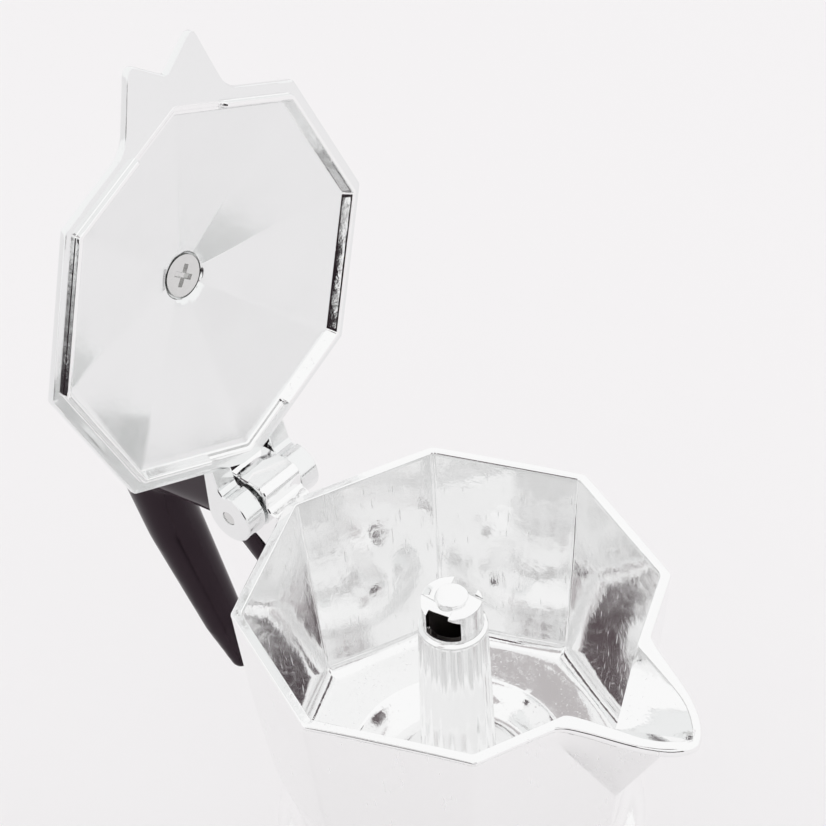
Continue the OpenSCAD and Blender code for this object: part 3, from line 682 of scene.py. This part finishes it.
def bridge_cut():
    """Wider at its foot than at its top, so the bridge's sides slope."""
    levels = ((WEDGE_FOOT, BRIDGE_Z - 0.1), (WEDGE_TOP, 130.6), (WEDGE_TOP, 134))
    rows = [[(x, y, z) for x, y in plan] for plan, z in levels]
    return outward(skin("cut", rows, tips=True))


for half_turn in (0, 180):
    for cutter in (window_cut, bridge_cut):
        made = cutter()
        made.data.transform(Matrix.Rotation(math.radians(BRIDGE_TURN + half_turn), 4, "Z"))
        join_solid(column, made, "DIFFERENCE")
boss = bevel(drill("boss", (0, 0, 130.6), 3.05, 1.0, "Z", 64), 0.22, 3, 45)
join_solid(column, boss)
bevel(column, 0.14, 2, 35)
shade(column, 32)
print("column faces:", len(column.data.polygons))

# %% [markdown]
# ## Boiler
# The lower pot is cast in one piece as well. Its eight sides lean in and melt into a round
# collar, and the neck above it is threaded. The thread is cut inwards here, so that the turned
# sizes of the two halves still clear each other.

# %% Rows of the boiler
BASE_FLAT, BOILER_LEAN, BOILER_WALL = 40.65, math.tan(math.radians(3.9)), 2.6
COVE_TOP, COVE_HIGH, COVE_OUT = 54, 12, 8.8
NECK_R, NECK_BORE = 32.2, 27.6
OUT_CORNER, INSIDE_CORNER, COVE_SOFT = 2.4, 1.6, 0.4


def boiler_r(turn, z, wall, corner_r):
    return octagon_r(turn, BASE_FLAT - BOILER_LEAN * z - wall, corner_r)


def cove(z, wall=0.0):
    """Radius of the turned form that rounds the octagon into the collar."""
    if z >= COVE_TOP:
        return COLLAR_R - wall
    bend = math.sin(math.acos(min(max((COVE_TOP - z) / (COVE_HIGH + wall), 0), 1)))
    return COLLAR_R + COVE_OUT * (1 - bend) - wall * bend


def boiler_outside(turn):
    def eight(z):
        return boiler_r(turn, z, 0.0, OUT_CORNER)

    rows = [(eight(0) * 0.5, 0.0), (eight(0) - 1.2, 0.0), (eight(0) - 0.35, 0.1),
            (eight(1) - 0.03, 0.45), (eight(1), 1.0)]
    rows += [(eight(z), z) for z in (6, 14, 22, 30, 37, 42)]
    rows += [(soft_min(eight(z), cove(z), COVE_SOFT), z) for z in range(43, COVE_TOP + 1)]
    return rows + [(COLLAR_R, 56.0), (COLLAR_R, 58.6), (35.9, 59.6), (35.3, 60.0), (33.6, 60.0)]


def neck_rows(turn):
    rows = [(32.5, 60.2), (NECK_R, 60.6)]
    for z in np.arange(61.0, 68.3, 0.3):
        share = min((z - 60.8) / 1.2, 68.5 - z, 1)
        rows.append(thread_row(turn, z, NECK_R, -0.9, share, start=0.5))
    return rows + [(32.0, 68.7), (31.7, 69.0), (28.0, 69.0), (NECK_BORE, 68.7),
                   (NECK_BORE, 62.0), (NECK_BORE, 57.8), (28.0, 57.4), (31.0, 57.4)]


def boiler_inside(turn):
    rows = []
    for z in [57.0, 56, 54, 53, 52, 51, 50, 49, 48, 46, 44, 42, 40, 32, 24, 16, 8, 5]:
        eight = boiler_r(turn, z, BOILER_WALL, INSIDE_CORNER)
        rounded = soft_min(eight, cove(z, BOILER_WALL), COVE_SOFT)
        rows.append((rounded if z > 38 else eight, z))
    for wall, z in ((2.9, 3.8), (3.8, 3.05), (8, 3.0), (24, 3.0)):
        rows.append((boiler_r(turn, 4, wall, INSIDE_CORNER), z))
    return rows


turn = columns()
net = net_from(turn, boiler_outside(turn) + neck_rows(turn) + boiler_inside(turn))
boiler = outward(skin("boiler_casting", net, tips=True))
print("boiler net", net.shape)

# %% [markdown]
# The safety valve screws into a round boss on one of the boiler's flats. The boss is a short
# rounded cylinder joined to the wall, and the valve's hole is drilled through both.

# %% Valve boss
BOSS_X, BOSS_R, BOSS_HALF = 36.9, 8.4, 3.0
boss = drill("boss", (0, 0, 0), BOSS_R, BOSS_HALF, "X", 64)
boss.data.transform(Matrix.Translation((BOSS_X * MM, 0, VALVE_Z * MM)))
bevel(boss, 0.6, 3, 45)
hole = drill("cut", (36.7, 0, VALVE_Z), 5.0, 5.0, "X", 64)
for piece, how in ((boss, "UNION"), (hole, "DIFFERENCE")):
    piece.data.transform(Matrix.Rotation(VALVE_TURN, 4, "Z"))
    join_solid(boiler, piece, how)
shade(boiler, 24)
print("boiler faces:", len(boiler.data.polygons))

# %% [markdown]
# ## Small turned and stamped pieces
# Valve, funnel, plate, pins and knob are right as solids. What a solid lacks is the tiny broken
# edge that catches light, so each is copied, cleaned of its triangles and bevelled.

# %% Copies of solids with broken edges
SAME_POINT, FLAT_ENOUGH = 1e-6, math.radians(1.0)


def copy_of(node, name):
    """A new piece with a copy of a CAD node's mesh. The node itself stays as it is."""
    return put_in_scene(name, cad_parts[node].data.copy())


def refined(node, name, width):
    made = copy_of(node, name)
    work = bmesh.new()
    work.from_mesh(made.data)
    bmesh.ops.remove_doubles(work, verts=work.verts, dist=SAME_POINT)
    bmesh.ops.dissolve_limit(work, angle_limit=FLAT_ENOUGH, verts=work.verts, edges=work.edges)
    work.to_mesh(made.data)
    work.free()
    return shade(bevel(made, width, 2, 30), 30)


print("solids to copy or dress:", len(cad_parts))

# %% [markdown]
# A moulded handle has no flat facets. The solid's copy is turned into an even mesh of half a
# millimetre and relaxed, most of all along the grip, and the tip is drawn in to a thinner end.
# Sculpting would do as well, but these few steps give the same handle each time.

# %% Moulded handle
GRID, RELAX = 0.45, 0.5
GRIP_X, GRIP_FADE = -57.0, 4
TIP_Z, TIP_SHARE = 85.0, 0.8
handle = copy_of("handle", "moulded_handle")
apply_modifier(handle, "REMESH", mode="VOXEL", voxel_size=GRID * MM, adaptivity=0)
apply_modifier(handle, "SMOOTH", factor=RELAX, iterations=8)
grip = handle.vertex_groups.new(name="grip")
for point in handle.data.vertices:
    share = min(max((GRIP_X * MM - point.co.x) / (GRIP_FADE * MM), 0), 1)
    grip.add([point.index], share, "REPLACE")
apply_modifier(handle, "SMOOTH", factor=RELAX, iterations=60, vertex_group="grip")
for point in handle.data.vertices:
    if point.co.z < TIP_Z * MM:
        point.co.z = TIP_Z * MM - (TIP_Z * MM - point.co.z) * TIP_SHARE
shade(handle, 50, weigh=False)
print("handle faces:", len(handle.data.polygons))

# %% [markdown]
# ## Finishes
# Colours are written as the eye sees them, in sRGB, and turned to the linear values that light
# adds up in. Patterns are written by the size of their grains in millimetres, while a noise
# texture counts grains per metre, so one small function turns the first into the second.

# %% Colour, scale and node helpers
def linear(code):
    """Linear RGBA of an sRGB hex colour."""
    parts = [int(code[i:i + 2], 16) / 255 for i in (1, 3, 5)]
    return (*[c / 12.92 if c <= 0.04045 else ((c + 0.055) / 1.055) ** 2.4 for c in parts], 1)


def per_metre(size):
    """Grains per metre, from the size of one in millimetres."""
    return 1000 / size


def add(tree, kind, into=None, **settings):
    """Adds a node. Settings named in_N or in_Name fill sockets, a socket given is linked, and
    the node's first output goes into another socket where one is named."""
    made = tree.nodes.new(kind)
    for key, value in settings.items():
        if not key.startswith("in_"):
            setattr(made, key, value)
            continue
        key = key[3:]
        socket = made.inputs[int(key) if key.isdigit() else key.replace("_", " ")]
        if isinstance(value, bpy.types.NodeSocket):
            tree.links.new(value, socket)
        else:
            socket.default_value = value
    if into is not None:
        tree.links.new(made.outputs[0], into)
    return made.outputs[0]


def new_material(name, colour=None, **sockets):
    """A Principled material with fixed values, its tree and its shader's inputs."""
    made = bpy.data.materials.new(name)
    made.use_nodes = True
    inputs = made.node_tree.nodes["Principled BSDF"].inputs
    if colour:
        inputs["Base Color"].default_value = linear(colour)
    for key, value in sockets.items():
        inputs[key.replace("_", " ")].default_value = value
    return made, made.node_tree, inputs


def place_on(tree):
    """The place on the piece, in metres, that a pattern goes by."""
    return tree.nodes.new("ShaderNodeTexCoord").outputs["Object"]


print("grains of 2 mm come", per_metre(2), "to the metre")

# %% [markdown]
# Stirring and cleaning leave hair-fine scratches on soft metal, in all directions. Real ones are
# a few hundredths of a millimetre wide, too fine to show, so they are drawn from grains half a
# millimetre wide. Noise stretched thirty times along one axis gives long grains. Only its peaks
# are kept, and only in patches, so the lines come out thin and broken.

# %% Hair-fine scratches
HAIR_WIDE, HAIR_STRETCH = 0.5, 0.03
HAIR_TURNS = (((20, 35, 0), 14.286), ((75, 10, 40), 8.0), ((50, 80, 15), 10.0))


def hair_lines(tree, place):
    """Heights from 0 to 1, from one set of lines for each turn and size of patch."""
    lines = None
    across = per_metre(HAIR_WIDE)
    for turns, patch_size in HAIR_TURNS:
        laid = add(tree, "ShaderNodeMapping", in_Vector=place,
                   in_Rotation=[math.radians(a) for a in turns],
                   in_Scale=(across, across, across * HAIR_STRETCH))
        grain = add(tree, "ShaderNodeTexNoise", in_Vector=laid, in_Scale=1, in_Detail=1)
        thin = add(tree, "ShaderNodeMapRange", in_0=grain, in_1=0.66, in_2=0.74)
        patchy = add(tree, "ShaderNodeTexNoise", in_Vector=place, in_Detail=2,
                     in_Scale=per_metre(patch_size))
        gate = add(tree, "ShaderNodeMapRange", in_0=patchy, in_1=0.48, in_2=0.6)
        part = add(tree, "ShaderNodeMath", operation="MULTIPLY", in_0=thin, in_1=gate)
        lines = part if lines is None else add(tree, "ShaderNodeMath", operation="MAXIMUM",
                                               in_0=lines, in_1=part)
    return lines


print("sets of scratches:", len(HAIR_TURNS))

# %% [markdown]
# Polished cast aluminium is bright and nearly neutral. Buffing leaves two waves, one of two
# millimetres and one of nearly a centimetre, and a sheen that changes from patch to patch. The
# waves are relief and the sheen is roughness, so they stay apart in the material too. One
# function gives all four finishes, which differ in how far the buffing went. The as-cast one is
# also dark grey, and this grey is painted shade for the hollow that it lines.

# %% Cast aluminium in its finishes
SHEEN_PATCH, BROAD_WAVE, FINE_WAVE = 11.111, 9.091, 2.2222


def cast_aluminium(name, sheen, ripple, wave, colour, scratch=0.0):
    """sheen is the roughness from the brightest to the dullest patch; ripple, wave and scratch
    are heights in millimetres."""
    made, tree, inputs = new_material(name, colour, Metallic=1.0)
    place = place_on(tree)
    patch = add(tree, "ShaderNodeTexNoise", in_Vector=place, in_Scale=per_metre(SHEEN_PATCH),
                in_Detail=5, in_Roughness=0.6)
    rough = add(tree, "ShaderNodeMapRange", in_0=patch, in_1=0.4, in_2=0.7, in_3=sheen[0],
                in_4=sheen[1])
    broad = add(tree, "ShaderNodeTexNoise", in_Vector=place, in_Scale=per_metre(BROAD_WAVE),
                in_Detail=2)
    low = add(tree, "ShaderNodeBump", in_Distance=wave * MM, in_Height=broad)
    fine = add(tree, "ShaderNodeTexNoise", in_Vector=place, in_Scale=per_metre(FINE_WAVE),
               in_Detail=4, in_Roughness=0.55)
    high = add(tree, "ShaderNodeBump", in_Distance=ripple * MM, in_Height=fine, in_Normal=low)
    if scratch:
        lines = hair_lines(tree, place)
        high = add(tree, "ShaderNodeBump", in_Distance=-scratch * MM, in_Height=lines,
                   in_Normal=high)
        more = add(tree, "ShaderNodeMath", operation="MULTIPLY", in_0=lines, in_1=0.25)
        rough = add(tree, "ShaderNodeMath", operation="ADD", in_0=rough, in_1=more)
    tree.links.new(rough, inputs["Roughness"])
    tree.links.new(high, inputs["Normal"])
    return made


# buffed to a mirror: sharp reflections that bend over the waves
CAST = cast_aluminium("polished_cast_aluminium", (0.045, 0.14), 0.034, 0.085, "#f9f9f9",
                      scratch=0.005)
# brushed only: reflections melt into soft bands
SATIN = cast_aluminium("satin_cast_aluminium", (0.11, 0.22), 0.01, 0.02, "#f1f2f2")
# polished along the flutes: each ridge keeps one clear line of light
FLUTED = cast_aluminium("polished_fluted_aluminium", (0.08, 0.17), 0.015, 0.02, "#f9f9f9")
# straight from the mould and matt; its dark grey is painted shade in the column's hollow head, so
# the windows look deep
AS_CAST_WITH_PAINTED_SHADE = cast_aluminium("as_cast_aluminium_painted_shade", (0.45, 0.65), 0.05, 0.02, "#8d8684")
print("cast finishes: polished, satin, fluted and as cast")

# %% [markdown]
# The handle and the knob are moulded phenolic: a hard black resin with a faint plum tint, a
# moulded gloss and a fine unevenness where the mould was polished. The small pieces are spun,
# turned or plated metal. All of them have one kind of grain that changes roughness and relief
# together, so one function lays it.

# %% Phenolic and worked metals
def lay_grain(tree, inputs, size, detail, span, rough, relief, share):
    """A grain of a size and relief in millimetres. Roughness goes over rough while the noise goes
    over span, and share is how strongly the relief counts."""
    grain = add(tree, "ShaderNodeTexNoise", in_Vector=place_on(tree), in_Scale=per_metre(size),
                in_Detail=detail)
    add(tree, "ShaderNodeMapRange", inputs["Roughness"], in_0=grain, in_1=span[0], in_2=span[1],
        in_3=rough[0], in_4=rough[1])
    add(tree, "ShaderNodeBump", inputs["Normal"], in_Strength=share, in_Distance=relief * MM,
        in_Height=grain)


def phenolic():
    made, tree, inputs = new_material("moulded_black_phenolic", "#150e13", IOR=1.38,
                                      Sheen_Weight=0.1, Sheen_Roughness=0.35,
                                      Specular_Tint=(1, 0.74, 0.88, 1))
    inputs["Sheen Tint"].default_value = linear("#c9a3b8")
    lay_grain(tree, inputs, 6.25, 3, (0, 1), (0.13, 0.22), 0.06, 0.2)
    return made


def worked_metal(name, colour, rough, size, relief):
    made, tree, inputs = new_material(name, colour, Metallic=1.0)
    lay_grain(tree, inputs, size, 5, (0.3, 0.7), rough, relief, 0.3)
    return made


PHENOLIC = phenolic()  # a dark gloss whose highlights turn slightly plum
SPUN = worked_metal("spun_aluminium", "#e9eaeb", (0.18, 0.34), 2, 0.03)  # soft grey sheen
BRASS = worked_metal("turned_brass", "#dcc183", (0.16, 0.3), 1.4286, 0.02)  # warm, pale gleam
STEEL = worked_metal("plated_steel", "#dcdcdb", (0.12, 0.26), 1.6667, 0.02)  # cool and clear
print("metals:", SPUN.name, BRASS.name, STEEL.name)

# %% [markdown]
# The gasket, the valve's seal and its washer are soft and matt. The eye goes by their colour,
# which is never quite even: one noise shifts the colour a little and raises a faint relief.

# %% Gasket, seal and washer materials
def soft_material(name, colour, rough, size):
    made, tree, inputs = new_material(name, Roughness=rough)
    grain = add(tree, "ShaderNodeTexNoise", in_Vector=place_on(tree), in_Scale=per_metre(size),
                in_Detail=4)
    tone = tree.nodes.new("ShaderNodeMix")
    tone.data_type = "RGBA"
    tree.links.new(grain, tone.inputs[0])
    tone.inputs["A"].default_value = linear(colour)
    tone.inputs["B"].default_value = [min(c * 1.12, 1) for c in linear(colour)]
    tree.links.new(tone.outputs["Result"], inputs["Base Color"])
    add(tree, "ShaderNodeBump", inputs["Normal"], in_Strength=0.3, in_Distance=0.04 * MM,
        in_Height=grain)
    return made


SILICONE = soft_material("white_silicone", "#ece9e2", 0.45, 2.5)  # milky and slightly glossy
RUBBER = soft_material("black_valve_rubber", "#26262a", 0.6, 1.4286)  # dull black
FIBRE = soft_material("red_fibre_washer", "#a4503c", 0.75, 1.1111)  # dry, like pressed card
print("soft materials:", SILICONE.name, RUBBER.name, FIBRE.name)

# %% [markdown]
# ## Dressing the frame
# Each piece made here takes its material, rides on the body that its solid belongs to and hides
# the solid that it stands for. The spring, the valve's seal and the knob's insert show nothing
# that their solids lack, so these keep their own meshes.

# %% Each piece on its body
def dress(piece, material, body, node):
    piece.data.materials.clear()
    piece.data.materials.append(material)
    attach(piece, body)
    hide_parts(node)


dress(collector, CAST, "collector", "collector")
dress(lid, SATIN, "lid", "lid")
dress(column, FLUTED, "collector", "column")
dress(handle, PHENOLIC, "collector", "handle")
dress(boiler, CAST, "boiler", "boiler")
SMALL = [("safety_valve_washer", "valve_washer", 0.1, FIBRE, "boiler", "fibre"),
         ("safety_valve_body", "valve_body", 0.25, BRASS, "boiler", "brass"),
         ("safety_valve_cap", "valve_cap", 0.2, BRASS, "boiler", "brass"),
         ("safety_valve_stem", "valve_stem", 0.12, STEEL, "valve_stem", "steel"),
         ("funnel_cup", "funnel_cup_spun", 0.2, SPUN, "boiler", "spun_aluminium"),
         ("funnel_sieve", "funnel_sieve_plate", 0.08, SPUN, "boiler", "spun_aluminium"),
         ("funnel_tube", "funnel_tube_spun", 0.2, SPUN, "boiler", "spun_aluminium"),
         ("gasket", "ring_gasket", 0.25, SILICONE, "seal", "silicone"),
         ("filter_plate", "filter_disc", 0.08, SPUN, "seal", "spun_aluminium"),
         ("handle_pin", "handle_rivet", 0.15, STEEL, "collector", "steel"),
         ("hinge_pin", "hinge_rivet", 0.2, STEEL, "lid", "steel"),
         ("lid_knob", "moulded_knob", 0.6, PHENOLIC, "lid", "phenolic"),
         ("knob_screw", "pan_head_screw", 0.12, STEEL, "lid", "steel")]
for node, name, width, material, body, slot in SMALL:
    dress(refined(node, name, width), material, body, node)
KEPT = {"safety_valve_spring": STEEL, "safety_valve_seal": RUBBER, "knob_insert": BRASS}
for node, material in KEPT.items():
    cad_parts[node].data.materials.clear()
    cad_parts[node].data.materials.append(material)
print("replaced:", 5 + len(SMALL), "kept:", len(KEPT))

# %% [markdown]
# A screw stops where it is tight, so its cross is turned a little from square. Two castings
# have a second finish. The inside of the column's head is left as cast and matt, with a dark grey
# that is painted shade in the hollow, and the lid's ridge is polished by the rim. Faces take it
# by their place on the shut, upright form.

# %% Turned screw and second finishes
SCREW_TURN = math.radians(38)
HEAD_INSIDE = 4.7
FACING_IN, FACING_UP = 0.3, 0.4
open_to_shut = swing_matrix().inverted()
screw = bpy.data.objects["pan_head_screw"]
screw.data.transform(swing_matrix() @ Matrix.Rotation(SCREW_TURN, 4, "Z") @ open_to_shut)

# the inside of the head gets the as-cast finish, whose dark grey is painted shade behind the
# windows
column.data.materials.append(AS_CAST_WITH_PAINTED_SHADE)
for face in column.data.polygons:
    middle = face.center / MM
    inward = face.normal.x * middle.x + face.normal.y * middle.y < FACING_IN
    under_bridge = middle.z < BRIDGE_Z + 0.05 and math.hypot(middle.x, middle.y) < HEAD_INSIDE
    if under_bridge and inward and face.normal.z < FACING_UP:
        face.material_index = 1

lid.data.materials.append(CAST)
CORNERS = [HALF_SIDE + math.radians(45 * k) for k in range(8)]
for face in lid.data.polygons:
    middle = open_to_shut @ face.center / MM
    flat = max(middle.x * math.cos(a) + middle.y * math.sin(a) for a in CORNERS)
    on_ridge = RIDGE_IN - 0.03 < flat / math.cos(HALF_SIDE) < RIDGE_OUT + 0.09
    if on_ridge and middle.z < RIDGE_TOP:
        face.material_index = 1
second = [sum(face.material_index for face in piece.data.polygons) for piece in (column, lid)]
print("faces of the second finish:", second)

# %% [markdown]
# ## Camera, light and floor
# The camera looks down into the open bowl from the front right, with a long lens that keeps the
# pot's sides nearly parallel. Standard view transform shows each colour as it is written. An open
# bowl is a bright metal cup that passes light on five to nine times, and paths that end sooner
# come out black, so the glossy bounces are raised from their usual four.

# %% Camera
view = bpy.data.cameras.new("camera")
view.lens, view.sensor_width, view.clip_start = 104.04, 36, 0.01
camera = put_in_scene("camera", view)
camera.location = (0.2001, -0.2265, 0.4410)
camera.rotation_euler = [math.radians(a) for a in (48.677, 2.493, 40.224)]
scene = bpy.context.scene
scene.camera = camera
scene.view_settings.view_transform = "Standard"
scene.cycles.max_bounces = 14
scene.cycles.glossy_bounces = 12
print("camera at", [round(c, 3) for c in camera.location])

# %% [markdown]
# Small shiny goods are lit in a white tent, so the world is white all round. The camera and
# mirrors see it as pure white, while it lights the pot a little less, so pale metal keeps its
# tone. Two large weak lamps give the soft shadow. Mirrors don't show them, because in a tent a
# lamp is hidden behind the cloth.

# %% White tent and two soft lamps
TENT_LIGHT, TENT_SEEN = 0.96, 1.0
world = bpy.data.worlds.new("white_studio")
world.use_nodes = True
scene.world = world
sky = world.node_tree
sky.nodes.clear()
rays = sky.nodes.new("ShaderNodeLightPath").outputs
seen = add(sky, "ShaderNodeMath", operation="MAXIMUM", in_0=rays["Is Camera Ray"],
           in_1=rays["Is Glossy Ray"])
seen = add(sky, "ShaderNodeMath", operation="MAXIMUM", in_0=seen,
           in_1=rays["Is Transmission Ray"])
dim, bright = (add(sky, "ShaderNodeBackground", in_Color=(1, 1, 1, 1), in_Strength=strength)
               for strength in (TENT_LIGHT, TENT_SEEN))
output = sky.nodes.new("ShaderNodeOutputWorld")
add(sky, "ShaderNodeMixShader", output.inputs["Surface"], in_0=seen, in_1=dim, in_2=bright)


def lamp(name, place, size, power):
    """A round lamp that looks at the pot's middle."""
    data = bpy.data.lights.new(name, "AREA")
    data.shape, data.size, data.energy = "DISK", size, power
    made = put_in_scene(name, data)
    made.location = place
    made.visible_glossy = False
    to_pot = Vector((0, 0, 0.1)) - Vector(place)
    made.rotation_euler = to_pot.to_track_quat("-Z", "Y").to_euler()


lamp("key", (0.5, 0.6, 1.1), 0.9, 1.2)
lamp("fill", (-0.7, -0.5, 0.8), 0.8, 0.4)
print("lamps:", len(bpy.data.lights))

# %% [markdown]
# Polished metal in an all-white tent looks flat, so dark and grey cards are hung round it. They
# give it edges to mirror. Each is a curved patch of a sphere round the pot that only reflections
# see, so it throws no shadow and never stands in the view. Flat cards would do, but their
# corners show in a round mirror.

# %% Cards for the metal to mirror
CARD_Z = 110


def flag(name, turns, lifts, distance, colour):
    """A card between two directions and two heights, in degrees, at a distance in millimetres."""
    turns = np.radians(np.linspace(*turns, 16))
    lifts = np.radians(np.linspace(*lifts, 5))
    net = [[(distance * math.cos(lift) * math.cos(turn),
             distance * math.cos(lift) * math.sin(turn),
             CARD_Z + distance * math.sin(lift)) for turn in turns] for lift in lifts]
    made = skin(name, net, around=False)
    made.visible_camera = made.visible_shadow = made.visible_diffuse = False
    card = new_material(name, colour, Roughness=1.0, Specular_IOR_Level=0)[0]
    made.data.materials.append(card)


flag("tall_flag", (-92, -71), (39, 52), 700, "#645a5d")
flag("grey_flag", (-71, -38), (39, 47), 720, "#c4bcbe")
flag("side_flag", (-40, -10), (43, 54), 700, "#544a4e")
flag("low_flag", (-97, -42), (-6, 8), 1000, "#2c2428")
flag("low_left_flag", (-86, -56), (8, 18), 1000, "#2c2428")
flag("low_right_flag", (-42, -15), (-12, 7), 1000, "#2c2428")
flag("high_flag", (-116, -95), (57, 70), 800, "#cfcccc")

# %% [markdown]
# The table is a plain pale matt sheet. It is large, so that its edge shows in no view and in no
# reflection, and it lies a hair below the boiler, so that the two never share a plane.

# %% White table
TABLE_HALF, TABLE_Z = 20000, -0.2
table = new_material("white_table", "#f2f0f1", Roughness=0.9)[0]
corners = [(x * TABLE_HALF, y * TABLE_HALF, TABLE_Z)
           for x, y in ((-1, -1), (1, -1), (1, 1), (-1, 1))]
ground = make_object("floor", corners, [(0, 1, 2, 3)])
ground.data.materials.append(table)
print("table at", TABLE_Z, "mm")
